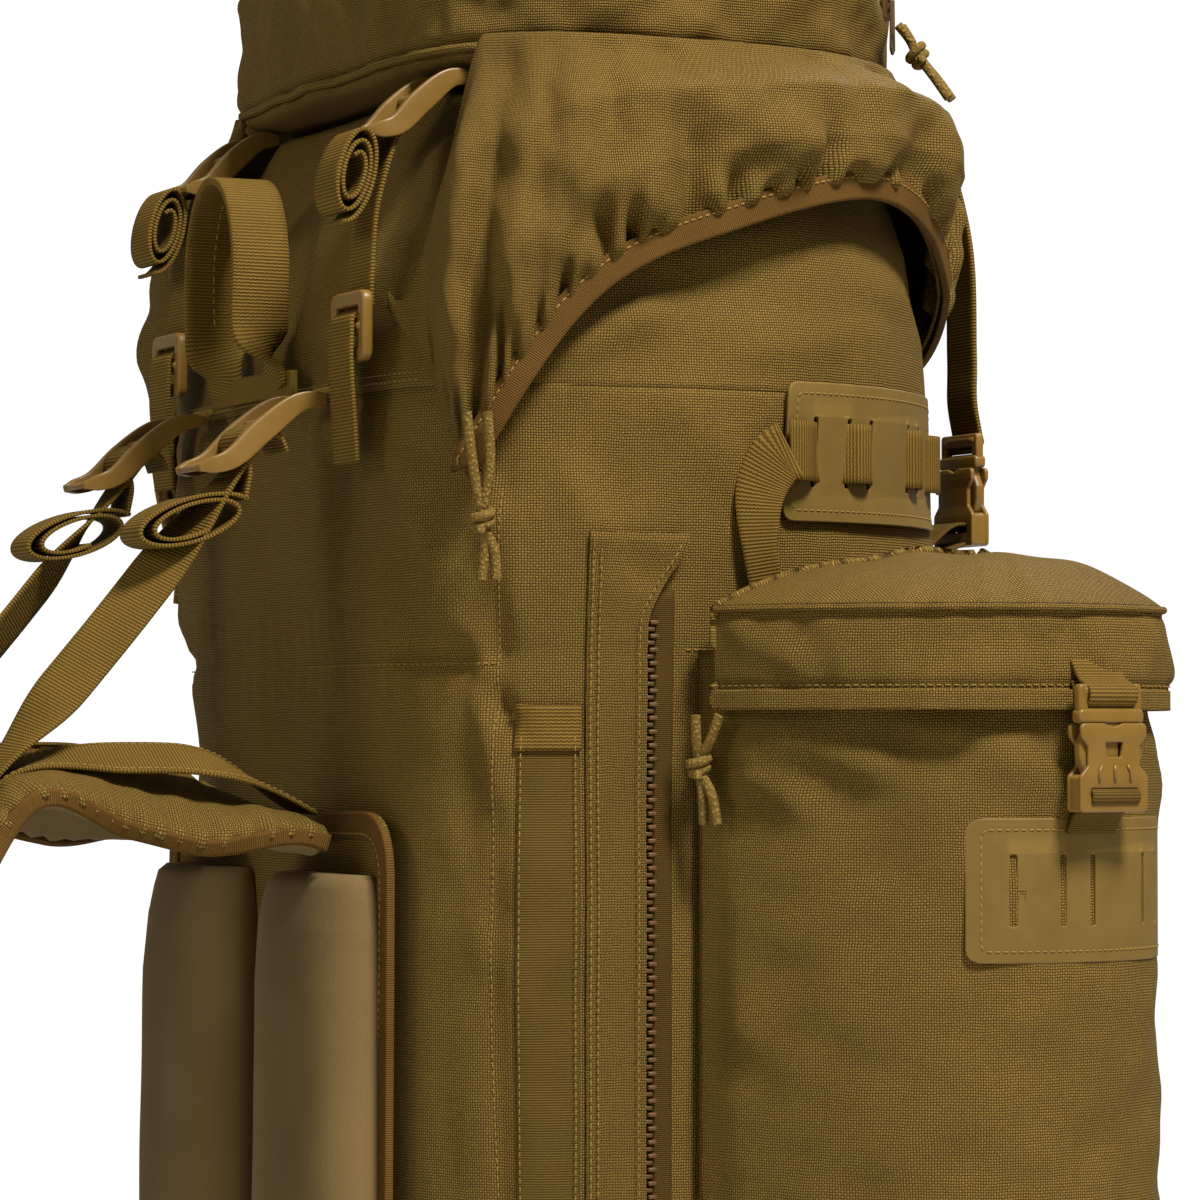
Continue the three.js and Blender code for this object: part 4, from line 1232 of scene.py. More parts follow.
# ------------------------------------------------------------------ lashing patches
PATCH_WIDTH, PATCH_HEIGHT, PATCH_THICK = 128, 55, 2
SLOTS = [share * PATCH_WIDTH for share in (-0.389, -0.24, -0.13, 0.13, 0.24, 0.389)]


BAG_PATCH_ANGLE, BAG_PATCH_HEIGHT, BAG_PATCH_RADIUS = 206 * DEG, 616, 195


def on_bag_side(along, up):
    """A place on the bag's side beside its patch, and its outward direction."""
    angle = BAG_PATCH_ANGLE + np.asarray(along) / BAG_PATCH_RADIUS
    height = BAG_PATCH_HEIGHT + np.asarray(up)
    return on_body(angle, height, 1.4), body_normal(angle, height)


def on_pouch(along, up, off=0.0):
    """A place on the pouch's face beside its patch, and its outward direction."""
    reach = np.asarray(along, float) * 0.94

    def spot(s):
        out = bag_out(s) + 6.5 + (POUCH_PROUD - 5) * pouch_swell(s, POUCH_HALF)
        return pouch_point(s, out, np.broadcast_to(PATCH_HEIGHT_ON_POUCH + np.asarray(up, float), s.shape))

    d = unit(spot(reach + 1) - spot(reach - 1))
    n = np.stack([d[..., 1], -d[..., 0], 0 * d[..., 0]], -1)
    n = n * np.sign(n[..., :2] @ OUTWARD)[..., None]
    return spot(reach) + n * (0.6 + np.asarray(off, float)[..., None] if np.ndim(off) else 0.6 + off), n


def bend(obj, surface, step=4.0):
    """Cuts a flat piece into columns and lays it on a surface: its x runs along, y up and z out."""
    bm = bmesh.new()
    bm.from_mesh(obj.data)
    xs = [v.co.x for v in bm.verts]
    for x in np.arange(min(xs) / MM + step, max(xs) / MM, step):
        bmesh.ops.bisect_plane(
            bm, geom=bm.verts[:] + bm.edges[:] + bm.faces[:], plane_co=(x * MM, 0, 0), plane_no=(1, 0, 0),
            dist=1e-7
        )
    co = np.array([v.co for v in bm.verts]) / MM
    p, n = surface(co[:, 0], co[:, 1])
    out = (p + n * co[:, 2:3]) * MM
    for v, q in zip(bm.verts, out):
        v.co = q
    bmesh.ops.recalc_face_normals(bm, faces=bm.faces)
    bm.to_mesh(obj.data)
    bm.free()
    return obj


def lashing_patch(name, surface, node):
    """A coated patch with slots, bent onto a surface, and the stitches round its edge."""
    slots = [rect(s - 1.8, -14.5, s + 1.8, 14.5, 1.7) for s in SLOTS]
    half, high = PATCH_WIDTH / 2, PATCH_HEIGHT / 2
    flat = plate(name, [rect(-half, -high, half, high, 5)] + slots, PATCH_THICK, 0.55, M_PATCH)
    flat.data.transform(Matrix.Translation((0, 0, PATCH_THICK / 2 * MM)))
    bend(flat, surface)
    pair(flat, name, "bag", node, slot="patch")
    edge = rect(-half + 4, -high + 4, half - 4, high - 4, 3)
    loop = np.array(edge + edge[:1])
    s = np.concatenate([[0], np.cumsum(np.hypot(*np.diff(loop, axis=0).T))])
    at = np.linspace(0, s[-1], 400)
    line = np.stack([np.interp(at, s, loop[:, 0]), np.interp(at, s, loop[:, 1])], -1)
    p, n = surface(line[:, 0], line[:, 1])
    thread = stitches(name + "_stitch", p + n * (PATCH_THICK + 0.05), n, M_THREAD, 3.2, 2.3, 0.34)
    pair(thread, name + "_stitch", "bag", slot="cordura")


lashing_patch("lash_patch_plate", on_bag_side, "lash_patch")
lashing_patch("pouch_patch_plate", on_pouch, "pouch_patch")

# Webbing woven through the upper patch, its free end folded down at the back.
weave = [
    (-66, 7.5), (-60, 7.0), (-54, 5.0), (-49.8, 1.6), (-44, -0.2), (-36, -0.2), (-30.7, 1.6), (-27, 4.4),
    (-23.6, 5.0), (-20, 4.4), (-16.6, 1.6), (-10, -0.3), (0, -0.3), (10, -0.3), (16.6, 1.6), (20, 4.4),
    (23.6, 5.0), (27, 4.4), (30.7, 1.6), (38, -0.2), (44, -0.2), (49.8, 1.6), (55, 5.0), (62, 6.5),
    (72, 6.0)
]
a = np.array([w[0] for w in weave])
o = np.array([w[1] for w in weave])
fine_a = np.linspace(a[0], a[-1], 160)
fine_o = spline(np.stack([a, o, 0 * a], -1), 400)
fine_o = np.interp(fine_a, fine_o[:, 0], fine_o[:, 1])
p, n = on_bag_side(fine_a, 0 * fine_a)
woven_strap = ribbon("patch_strap_band", p + n * fine_o[:, None], 24, 1.4, (0, 0, 1), M_WEBBING)
start_p = p[0] + n[0] * fine_o[0]
tail_side = np.array(
    [
        [0, 0, 1.0], [0.1, 0.25, 0.9], [0.35, 0.6, 0.6], [0.45, 0.8, 0.25], [0.45, 0.85, 0.15],
        [0.4, 0.9, 0.1]
    ]
)
tail_points = [
    start_p, start_p + np.array([1.5, 6, -4]), start_p + np.array([3, 12, -17]),
    start_p + np.array([2, 13, -36]), start_p + np.array([2, 10, -54]), start_p + np.array([2, 7, -68])
]
tail_path = spline(tail_points, 50)
t = np.linspace(0, 1, len(tail_side))
sides = np.stack([np.interp(np.linspace(0, 1, 50), t, tail_side[:, k]) for k in range(3)], -1)
tail_width = np.interp(np.linspace(0, 1, 50), [0, 0.3, 0.6, 1], [24, 20, 14, 13])
tail = ribbon("patch_strap_tail", tail_path, tail_width, 1.6, sides, M_WEBBING)
strap = merged("patch_strap_cloth", [woven_strap, tail])
pair(strap, "patch_strap_webbing", "bag", "patch_strap", slot="webbing")


# ------------------------------------------------------------------ buckles and locks
TURN = Matrix.Rotation(90 * DEG, 4, "X")  # stands a flat plate up, its face towards -Y


def shift(x, y, z):
    """A move in millimetres."""
    return Matrix.Translation((x, y, z))


def standing(obj, low, thick):
    """Turns a flat plate to stand in XZ, from low to low + thick in Y."""
    return place(obj, shift(0, low + thick / 2, 0) @ TURN)


def ladder_lock(name):
    """A ladder lock for 25 mm webbing: a frame with two windows and three bars."""
    windows = [rect(-13, -9.5, 13, -2, 1.4), rect(-13, 2, 13, 9.5, 1.4)]
    frame_plate = standing(
        plate(name, [rect(-16.5, -13, 16.5, 13, 3.4)] + windows, 4.6, 1.3, M_PLASTIC, 3), -2.3, 4.6
    )
    bars = [frame_plate]
    for z, y, r in ((0, 1.0, 2.0), (11.2, 0.4, 1.9), (-11.2, 0.4, 1.9)):
        bars.append(
            tube(
                name + "_bar", [(-15.3, y, z), (-8, y, z), (0, y, z), (8, y, z), (15.3, y, z)], r,
                M_PLASTIC, 12
            )
        )
    return merged(name, bars)


def lever_lock(name, length):
    """An S-shaped lever lock: two rails, two bars and a thumb tab."""
    width = 33
    spine = spline(
        [
            (0, -0.5 * length, 1), (0, -0.3 * length, 4), (0, 0, 0), (0, 0.27 * length, -5),
            (0, 0.5 * length, -3)
        ],
        44
    )
    t = np.linspace(0, 1, len(spine))
    parts = []
    for side in (-1, 1):
        rail = spine.copy()
        rail[:, 0] = side * (width / 2 - 2.1 - 2.2 * ramp(t, 0.86, 1.0))
        thick = (5.4 + 4.2 * np.sin(np.pi * t)) * (1 - 0.45 * ramp(t, 0.9, 1.0)) * (
            1 - 0.3 * ramp(-t, -0.08, 0.0)
        )
        parts.append(subdivide(ribbon(name + "_rail", rail, 4.2, thick, (1, 0, 0), M_PLASTIC)))
    for at, r in ((0.06, 2.2), (0.42, 2.3)):
        c = spine[int(at * 43)]
        bar = [(x, c[1], c[2]) for x in np.linspace(-width / 2 + 2, width / 2 - 2, 6)]
        parts.append(tube(name + "_bar", bar, r, M_PLASTIC, 12))
    tab = spine[int(0.74 * 43):]
    w = np.linspace(0, 1, len(tab))
    across = (width - 3) * np.sqrt(np.clip(1 - np.maximum(w - 0.62, 0) ** 2 / 0.38**2 * 0.5, 0.2, 1))
    parts.append(subdivide(ribbon(name + "_tab", tab, across, 3.2 - 0.8 * w, (1, 0, 0), M_PLASTIC)))
    return merged(name, parts)


def buckle_female(name):
    """The body of a 25 mm side-release buckle."""
    outer = rounded(
        [
            (-16.5, -24), (16.5, -24), (16.5, -11), (12.4, -7), (12.4, 1), (16, 5), (16, 9), (5, 9),
            (0, 7.5), (-5, 9), (-16, 9), (-16, 5), (-12.4, 1), (-12.4, -7), (-16.5, -11)
        ],
        1.6
    )
    slot = rect(-12.5, -19.2, 12.5, -14.8, 1.2)
    window = rounded([(-4, -4), (4, -4), (5.4, 3), (-5.4, 3)], 1.4)
    front = standing(plate(name, [outer, slot, window], 1.9, 0.7, M_PLASTIC), 7.0, 1.9)
    rear = standing(plate(name + "_rear", [outer, slot], 2.0, 0.6, M_PLASTIC), 0.05, 2.0)
    foot = [
        rounded(
            [
                (-16.5, -24), (16.5, -24), (16.5, -11.5), (14.2, -10), (14.2, -13.5), (-14.2, -13.5),
                (-14.2, -10), (-16.5, -11.5)
            ],
            0.9
        ),
        slot
    ]
    core = standing(plate(name + "_core", foot, 7.4, 0.4, M_PLASTIC), 0.9, 7.4)
    ribs = [
        tube(name + "_rib", [(x, 9.0, -12.6), (x, 9.1, -9), (x * 0.8, 9.0, -6.5)], 0.7, M_PLASTIC, 8)
        for x in (-8, 0, 8)
    ]
    return merged(name, [front, rear, core, *ribs])


def buckle_male(name):
    """The clip of a 25 mm side-release buckle, with its two prongs."""
    half = [(3.2, 11.6), (3.0, -6.5), (1.6, -8)]
    arm = [
        (15, 24), (15, 13), (12.6, 11.4), (12.4, 6), (15.2, 1.5), (15.0, -3), (12.6, -9), (10.2, -12),
        (8.6, -10.5), (9.2, -3), (8.8, 6), (7.2, 11.6)
    ]
    outline_points = arm + half + [(-x, y) for x, y in reversed(half)] + [(-x, y) for x, y in reversed(arm)]
    slot = rect(-12.5, 15, 12.5, 20, 1.4)
    blade = standing(plate(name, [rounded(outline_points, 1.0, 4), slot], 3.8, 0.9, M_PLASTIC), 3.1, 3.8)
    bar = tube(name + "_bar", [(x, 5, 22.2) for x in np.linspace(-14, 14, 6)], 2.3, M_PLASTIC, 12)
    lip = standing(
        plate(name + "_lip", [rect(-15.4, 10.6, 15.4, 14.2, 1.2)], 5.4, 1.0, M_PLASTIC), 2.3, 5.4
    )
    return merged(name, [blade, bar, lip])


def facing_out(point, normal):
    """Turns a piece whose outward face is +Y so that it faces normal, at a point."""
    return shift(*point) @ Matrix.Rotation(math.atan2(normal[1], normal[0]) - math.pi / 2, 4, "Z")


def rot_x(angle):
    """A turn about X in degrees."""
    return Matrix.Rotation(angle * DEG, 4, "X")


lock = place(ladder_lock("lid_lock"), shift(-108, 132, 666))
pair(lock, "lid_lock_buckle", "lid_lock", "lid_ladder_lock")
lever = place(lever_lock("lid_lever", 50), shift(-108, 108, 757) @ rot_x(-24))
pair(lever, "lid_lever_buckle", "lid_lever", "lid_lever")
lever = place(lever_lock("lifter_lever", 62), shift(-72, 162, 625) @ rot_x(-25))
pair(lever, "lifter_lever_buckle", "lifter", "lifter_lever")
lock = place(ladder_lock("anchor"), shift(-74, 282.1, 474.4) @ rot_x(39))
pair(lock, "shoulder_anchor_buckle", "shoulder", "shoulder_anchor")
lock = place(ladder_lock("shoulder_lock"), shift(-92.5, 262, 148) @ rot_x(-68))
pair(lock, "shoulder_lock_buckle", "shoulder_lock", "shoulder_lock")

p, n = on_pouch(np.array([-18.0]), np.array([0.0]), 7.4)
POUCH_BUCKLE = facing_out((p[0, 0], p[0, 1], 497), n[0])
pair(place(buckle_female("pouch_female"), POUCH_BUCKLE), "pouch_buckle_body", "bag", "pouch_buckle_female")
pair(place(buckle_male("pouch_male"), POUCH_BUCKLE), "pouch_buckle_clip", "pouch_clip", "pouch_buckle_male")


top_tab = ribbon(
    "clip_tab",
    spline(
        [
            (0, -3.0, 34), (0, 1.5, 27), (0, 7.2, 23.5), (0, 8.6, 20), (0, 6.0, 16.8), (0, 1.0, 18.5),
            (0, -2.6, 26)
        ],
        36
    ),
    24, 1.5, (1, 0, 0), M_WEBBING
)
pair(place(top_tab, POUCH_BUCKLE), "pouch_clip_webbing", "pouch_clip", slot="webbing")
low_tab = ribbon(
    "base_tab",
    spline(
        [
            (0, -5.6, -33), (0, -2.0, -27), (0, 4.0, -22), (0, 9.2, -20.6), (0, 9.6, -17.2),
            (0, 4.6, -15.6), (0, -2, -17), (0, -6.2, -22)
        ],
        36
    ),
    24, 1.5, (1, 0, 0), M_WEBBING_DARK
)
pair(place(low_tab, POUCH_BUCKLE), "pouch_base_webbing", "bag", slot="webbing")

FRONT_BUCKLE = facing_out((-52, -176, 610), (0, -1, 0))
pair(place(buckle_female("front_female"), FRONT_BUCKLE), "front_buckle_body", "bag", "front_buckle")
clip = place(buckle_male("front_male"), FRONT_BUCKLE)
path = [
    (0, 5, 17), (0, 8.6, 20), (0, 7.4, 26), (0, 5, 40), (0, 5, 60), (0, 3, 108), (0, -10, 150),
    (0, -31, 172), (0, -41, 184)
]
band = place(ribbon("front_band", spline(path, 60), 24, 1.8, (1, 0, 0), M_WEBBING), FRONT_BUCKLE)
pair(
    merged("front_strap_joined", [clip, band]), "front_strap_webbing", "lid", "front_strap",
    slot="webbing"
)
low_tab = ribbon(
    "front_tab",
    spline(
        [
            (0, -19.5, -40), (0, -14, -30), (0, 2.0, -23), (0, 9.2, -20.6), (0, 9.6, -17.2),
            (0, 4.6, -15.6), (0, -6, -16), (0, -19, -26)
        ],
        36
    ),
    24, 1.5, (1, 0, 0), M_WEBBING_DARK
)
pair(place(low_tab, FRONT_BUCKLE), "front_tab_webbing", "bag", slot="webbing")

# ------------------------------------------------------------------ webbing at the back
LID_LOCK = np.array([-108, 132, 666.0])
path = [
    (0, -37, 99), (0, -33, 95), (0, -26, 90), (0, -17, 81), (0, -7, 50), (0, -4.4, 22), (0, -4.1, 13),
    (0, -3.9, 8.5), (0, 0, 5.8), (0, 3.9, 3.4), (0, 4.4, -2), (0, 4.6, -16), (0, 3.2, -36), (0, 2, -55)
]
strap = ribbon("lid_strap_run", spline(np.array(path) + LID_LOCK, 90), 24, 1.7, (1, 0, 0), M_WEBBING)
# The spare webbing is rolled flat into a bundle held against the strap.
t = np.linspace(0, 1, 110)
turn = 2 * np.pi * 2.6 * t
grow = 1 - 0.62 * t
oval = np.stack([0 * t, -20.5 * grow * np.cos(turn), 8.6 * grow * np.sin(turn)], -1)
bundle = ribbon("lid_strap_bundle", oval, 24, 1.6, (1, 0, 0), M_WEBBING)
place(bundle, shift(-112, 136.5, 727) @ rot_x(104))
pair(merged("lid_strap_joined", [strap, bundle]), "lid_strap_webbing", "bag", "lid_strap", slot="webbing")

LIFTER_TOP, LIFTER_LOW = np.array([-72, 161, 620.0]), np.array([-74, 272.7, 484.9])
t = np.linspace(0, 1, 70)
turned = 0.55 * (ramp(t, 0.04, 0.4) * ramp(-t, -0.98, -0.72))[:, None]
run_side = np.array([1.0, 0, 0]) * (1 - turned) + np.array([0.33, 0.71, 0.63]) * turned
run = ribbon(
    "lifter_run",
    spline([LIFTER_TOP, LIFTER_TOP * 0.5 + LIFTER_LOW * 0.5 + (0, -1, -1.5), LIFTER_LOW], 70), 24, 1.7,
    run_side, M_WEBBING
)
t = np.linspace(0, 1, 90)
turn = 2 * np.pi * 1.75 * t + np.pi * 0.1
grow = 1 - 0.42 * t
oval = np.stack([0 * t, -26 * grow * np.cos(turn), 9.6 * grow * np.sin(turn) + 1.5 * np.cos(turn)], -1)
roll = ribbon("lifter_roll", oval, 24, 1.6, (1, 0, 0), M_WEBBING)
place(roll, shift(-72, 190, 588) @ rot_x(-12))
threaded = [
    (-72, 150, 617), (-72, 153, 623), (-72, 161, 628), (-72, 170, 622), (-72, 166, 610), (-72, 168, 597)
]
over = ribbon("lifter_over", spline(threaded, 40), 24, 1.6, (1, 0, 0), M_WEBBING)
root = ribbon(
    "lifter_root", spline([(-72, 128.5, 644), (-72, 133, 640), (-72, 138, 637)], 14), 24, 1.8, (1, 0, 0),
    M_WEBBING
)
lifter = merged("lifter_strap_joined", [run, roll, over, root])
pair_across(lifter, "lifter_strap_webbing", "lifter_strap")
low_path = [(-93, 246.8, 142), (-95, 238, 139), (-113, 200, 133), (-135, 148, 130), (-143.8, 112.6, 129)]
lower = ribbon("lower_run", spline(low_path, 60), 24, 1.7, (1, 0.35, 0), M_WEBBING)
pair_across(lower, "lower_strap_webbing", "lower_strap")

# ------------------------------------------------------------------ haul loop
half_path = [
    (-31, 133.5, 646), (-29, 136, 655), (-28, 139.5, 664), (-27.6, 141, 674), (-28, 141, 705),
    (-18, 141, 728), (0, 141, 736)
]
full = half_path + [(-x, y, z) for x, y, z in reversed(half_path[:-1])]
loop = spline(full, 160)
t = np.linspace(0, 1, 160)
twist = ramp(np.abs(t - 0.5), 0.36, 0.47) * np.sign(t - 0.5)
sides = np.stack([twist, 1 - 0.9 * np.abs(twist), 0 * t], -1)
arch = ribbon("haul_arch", loop, 25, 3.2, sides, M_WEBBING)
base = ribbon(
    "haul_base", spline([(-47, 133, 648), (-20, 134, 648.5), (20, 134, 648.5), (47, 133, 648)], 40), 11,
    3.0, (0, 0, 1), M_WEBBING
)
mid = loop[24:-24]
up_way = frame_along(loop, sides)[2]
thread = stitches("haul_stitch", mid + up_way[24:-24] * 1.7, up_way[24:-24], M_THREAD, 4.5, 3.2, 0.4)
haul = merged("haul_loop_joined", [arch, base])
haul.name = "haul_loop_webbing"
finish(haul, "haul", "haul_loop", slot="webbing")
finish(thread, "haul", slot="cordura")

# ------------------------------------------------------------------ back panel and pads


def slab(name, x0, x1, heights, base_y, material, waves, columns=70, dip=None):
    """A foam pad under stretched cloth, crowned over a stated outline. heights are (z, proud, inset)."""
    rows = np.array(heights, float)
    z = np.linspace(rows[0, 0], rows[-1, 0], 110)
    proud = np.interp(z, rows[:, 0], rows[:, 1])
    inset = np.interp(z, rows[:, 0], rows[:, 2])
    s = np.linspace(-1, 1, columns)
    left, right = x0 + inset, x1 - inset
    middle, half = (left + right) / 2, (right - left) / 2
    crown = (1 - np.abs(s) ** 3.6) ** (1 / 2.2)
    x = middle[:, None] + half[:, None] * (np.sign(s) * np.abs(s) ** 0.9)[None]
    y = base_y + proud[:, None] * crown[None] * (0.93 + 0.07 * np.cos(s * 1.2)[None])
    y = y + 0.8 * waves(x, z[:, None] + 0 * x) * crown[None]
    if dip is not None:
        y = y - dip(x, z[:, None]) * crown[None]
    grid = np.stack([x, y, z[:, None] + 0 * x], -1)
    top = grid[-1].copy()
    top[:, 1] = base_y
    low = grid[0].copy()
    low[:, 1] = base_y
    grid = np.concatenate([low[None], grid, top[None]])
    u, v = np.meshgrid(
        np.arange(grid.shape[1]) * (x1 - x0) / grid.shape[1], arc(grid[:, columns // 2], False)
    )
    obj = grid_object(name, grid, u, v, False, material)
    close_holes(obj)
    return obj


PAD_PROFILE = [
    (112, 14, 16), (115, 19, 9), (120, 23, 4.5), (132, 25.5, 1), (150, 26, 0), (300, 26, 0),
    (400, 24.5, 0), (424, 22.5, 0.5), (436, 20, 2), (443, 18, 4), (446, 14, 7)
]
pad = slab("back_pad", -120, -19, PAD_PROFILE, 123.9, M_FOAM, Waves(61, 60, 200))
left_pad, right_pad = pair(pad, "back_pad_cover", "bag", "back_pad", slot="foam")
LUMBAR = [
    (24, 14, 20), (27, 20, 12), (33, 25, 5), (45, 28, 0), (92, 28, 0), (99, 24, 6), (102, 19, 12),
    (104, 14, 20)
]
lumbar = slab("lumbar_pad_cover", -92, 92, LUMBAR, 123.9, M_FOAM, Waves(62, 60, 160), 110,
              lambda x, z: 5 * bump(x, 0, 7) * ramp(z, 30, 50) * ramp(-z, -98, -80))
finish(lumbar, "bag", "lumbar_pad", slot="foam")
PANEL_CORNERS = [(-125, 18), (125, 18), (125, 470), (-125, 470)]
panel = plate("back_panel_cloth", [rounded(PANEL_CORNERS, 22, 10)], 2.8, 1.0, M_CORDURA)
standing(panel, 120.5, 2.8)
finish(panel, "bag", "back_panel", slot="cordura")
edge = np.array(rounded(PANEL_CORNERS, 22, 12))
edge = np.concatenate([edge, edge[:1]])
s = np.concatenate([[0], np.cumsum(np.hypot(*np.diff(edge, axis=0).T))])
at = np.linspace(0, s[-1], 420)
rim = np.stack([np.interp(at, s, edge[:, 0]), 0 * at + 122.8, np.interp(at, s, edge[:, 1])], -1)
inward = unit(np.array([0, 122.8, 244.0]) - rim)
rim_band = ribbon("back_panel_binding", rim + inward * 4.5, 11, 3.4, inward, M_BINDING)
finish(rim_band, "bag", slot="webbing")
line = stitches("back_panel_stitch", rim + inward * 8.2 + (0, 1.8, 0), (0, 1, 0), M_THREAD, 3.4, 2.4, 0.36)
finish(line, "bag", slot="cordura")

# ------------------------------------------------------------------ padded straps
def padded_sweep(
        name, path, width, thick, side, power=2.6, cover=None, ruche=0.8, seed=1, lift=0.0, sweep=(0, 360)
):
    """A padded strap with puckered edges: a rounded section along a path. sweep keeps part of it."""
    n = len(path)
    _, across, up = frame_along(path, side)
    w = np.broadcast_to(np.asarray(width, float), (n,)) / 2
    h = np.broadcast_to(np.asarray(thick, float), (n,)) / 2
    start, end = sweep
    closed = end - start >= 360
    phi = np.linspace(start, end, 64, endpoint=not closed) * DEG
    c = np.sign(np.cos(phi)) * np.abs(np.cos(phi)) ** (2 / power)
    s = np.sign(np.sin(phi)) * np.abs(np.sin(phi)) ** (2 / power)
    along = arc(path, False)
    waves = Waves(seed, 14, 44)
    ends = np.minimum(ramp(np.linspace(0, 1, n), 0, 0.03), ramp(-np.linspace(0, 1, n), -1, -0.97))[:, None]
    ends = 0.25 + 0.75 * np.sqrt(ends)
    edge = np.abs(np.cos(phi)) ** 3
    pucker = ruche * edge[None] * np.sin(2 * np.pi * along / 8.5 + 1.5 * np.sin(along / 17))[:, None]
    soft = 0.8 * waves(along[:, None], (phi * 20)[None])
    grow = lift + pucker + soft
    grid = path[:, None] + across[:, None] * (
        (w[:, None] * ends + grow) * c[None]
    )[..., None] + up[:, None] * ((h[:, None] * ends + grow) * s[None])[..., None]
    ring = np.concatenate([[0], np.cumsum(np.hypot(np.diff(c * w.max()), np.diff(s * h.max())))])
    if closed:
        ring = np.concatenate([ring, [ring[-1] + (ring[-1] - ring[-2])]])
    u, v = np.meshgrid(ring, along)
    obj = grid_object(name, grid, u, v, closed, M_FOAM if cover is None else cover)
    if closed:
        close_holes(obj)
    return obj


SHOULDER = [
    (-64, 129.5, 457), (-65, 160, 466), (-67, 197, 474), (-70, 236, 482), (-72, 263, 477),
    (-74, 281, 455), (-76, 293, 425), (-79, 302, 390), (-82, 307, 350), (-85, 308, 300), (-88, 303, 250),
    (-90, 292, 205), (-92, 277, 166)
]
shoulder = spline(SHOULDER, 220)
t = np.linspace(0, 1, 220)
roll = 27 * DEG * ramp(t, 0.03, 0.14) * ramp(-t, -0.31, -0.2)
shoulder_side = np.stack([np.cos(roll), 0 * t, np.sin(roll)], -1)
pad_width = 64 - 16 * np.maximum(0, t - 0.75) / 0.25
foam = padded_sweep(
    "shoulder_foam", shoulder, pad_width - 2.5, 14.5, shoulder_side, 2.4, ruche=1.6, seed=71
)
top = padded_sweep(
    "shoulder_top", shoulder, pad_width - 2, 15, shoulder_side, 2.4, M_CORDURA, 1.6, 71, 0.9, (-2, 182)
)
solidify(top, 0.6)
_, across, up = frame_along(shoulder, shoulder_side)
tab = ribbon(
    "shoulder_tab", spline([(-92, 279, 178), (-92.4, 277.5, 166), (-92.4, 276.6, 157)], 16), 25, 2.8,
    (1, 0, 0), M_WEBBING
)
body = merged("shoulder_strap_joined", [foam, top, tab])
pads = pair(body, "shoulder_strap_pad", "shoulder", "shoulder_strap", slot="foam")
keep = slice(4, 205)
lift = 9.3 + 13 * bump(t, 0.13, 0.085)
web = ribbon("shoulder_web", (shoulder + up * lift[:, None])[keep], 25, 1.6, shoulder_side[keep], M_WEBBING)
pair(web, "shoulder_webbing", "shoulder", slot="webbing")
for k, sign in enumerate((-1, 1)):
    row = shoulder + across * (sign * (pad_width / 2 - 0.4))[:, None] - up * 0.6
    cord = ribbon(f"shoulder_binding_{k}", row[4:-4], 4.0, 7.0, across[4:-4], M_BINDING)
    pair(cord, f"shoulder_binding_{'outer' if k == 0 else 'inner'}", "shoulder", slot="webbing")
    row = shoulder + across * sign * 11.0 + up * (lift + 0.9)[:, None]
    pair(
        stitches(f"shoulder_stitch_{k}", row[keep], up[keep], M_THREAD),
        f"shoulder_stitch_{'outer' if k == 0 else 'inner'}", "shoulder", slot="cordura"
    )

WING = spline([(-104, 132.5, 60), (-132, 158, 60), (-156, 205, 60), (-163, 258, 60), (-150, 306, 60)], 150)
t = np.linspace(0, 1, 150)
wing = padded_sweep("hip_foam", WING, 86 - 36 * t * t, 13.4, (0, 0, 1), 3.0, ruche=0.5, seed=73)
cover = padded_sweep(
    "hip_cover", WING, 86 - 36 * t * t, 13.4, (0, 0, 1), 3.0, M_CORDURA, 0.5, 73, 0.9, (-10, 190)
)
solidify(cover, 0.6)
web_path = spline(
    [(-156, 294, 60), (-150, 309, 60), (-136, 330, 60), (-108, 349, 60), (-81, 353.5, 60)], 60
)
web = ribbon("hip_web", web_path, 37, 2.1, (0, 0, 1), M_WEBBING)
body = merged("hip_wing_joined", [wing, cover, web])
wings = pair(body, "hip_wing_pad", "hip", "hip_wing", slot="foam")
turn = Matrix.Rotation(90 * DEG, 4, "Y")
female = place(buckle_female("hip_buckle_body"), shift(-56.6, 350, 60) @ turn)
finish(female, "hip_left", "hip_buckle_female", slot="plastic")
male = place(buckle_male("hip_buckle_clip"), shift(56.6, 350, 60) @ turn)
finish(male, "hip_right", "hip_buckle_male", slot="plastic")

# ------------------------------------------------------------------ zips and the strips beside them
ZIP_ANGLE = 169.2 * DEG


SIDE_RADIUS = 187


def side_band(name, low, high, left, right, off, thick, material, columns=14, step=4.0, edge=None):
    """A strip of cloth lying on the bag's side between two angles, which may change with height."""
    z = np.arange(low, high + step / 2, step)
    a0 = left(z) if callable(left) else np.full_like(z, left * DEG)
    a1 = right(z) if callable(right) else np.full_like(z, right * DEG)
    s = np.linspace(0, 1, columns)
    a = a0[:, None] * (1 - s) + a1[:, None] * s
    zz = z[:, None] + 0 * a
    lift = off if edge is None else off + edge(s)[None]
    grid = body_surface(a, zz, lift)
    u, v = np.meshgrid(s * SIDE_RADIUS * float(np.max(np.abs(a1 - a0))), z)
    obj = grid_object(name, grid, u, v, False, material, flip=True)
    return solidify(obj, thick, 1)


def side_line(angle, low, high, off):
    """A row of stitches up the bag's side."""
    z = np.arange(low, high, 2.0)
    a = np.full_like(z, angle * DEG) if np.isscalar(angle) else angle(z)
    return stitches("line", body_surface(a, z, off), body_normal(a, z), M_THREAD, 3.4, 2.4, 0.28)


strip = side_band("reinforcing_strip", 22, 506, 152.9, 160.4, 0.5, 1.2, M_WEBBING_DARK)
pair(strip, "reinforcing_strip", "bag", slot="webbing")
tab = side_band("reinforcing_tab", 496, 515, 152.6, 160.6, 2.0, 1.4, M_WEBBING, 10, 2.0)
pair(tab, "reinforcing_tab", "bag", slot="webbing")


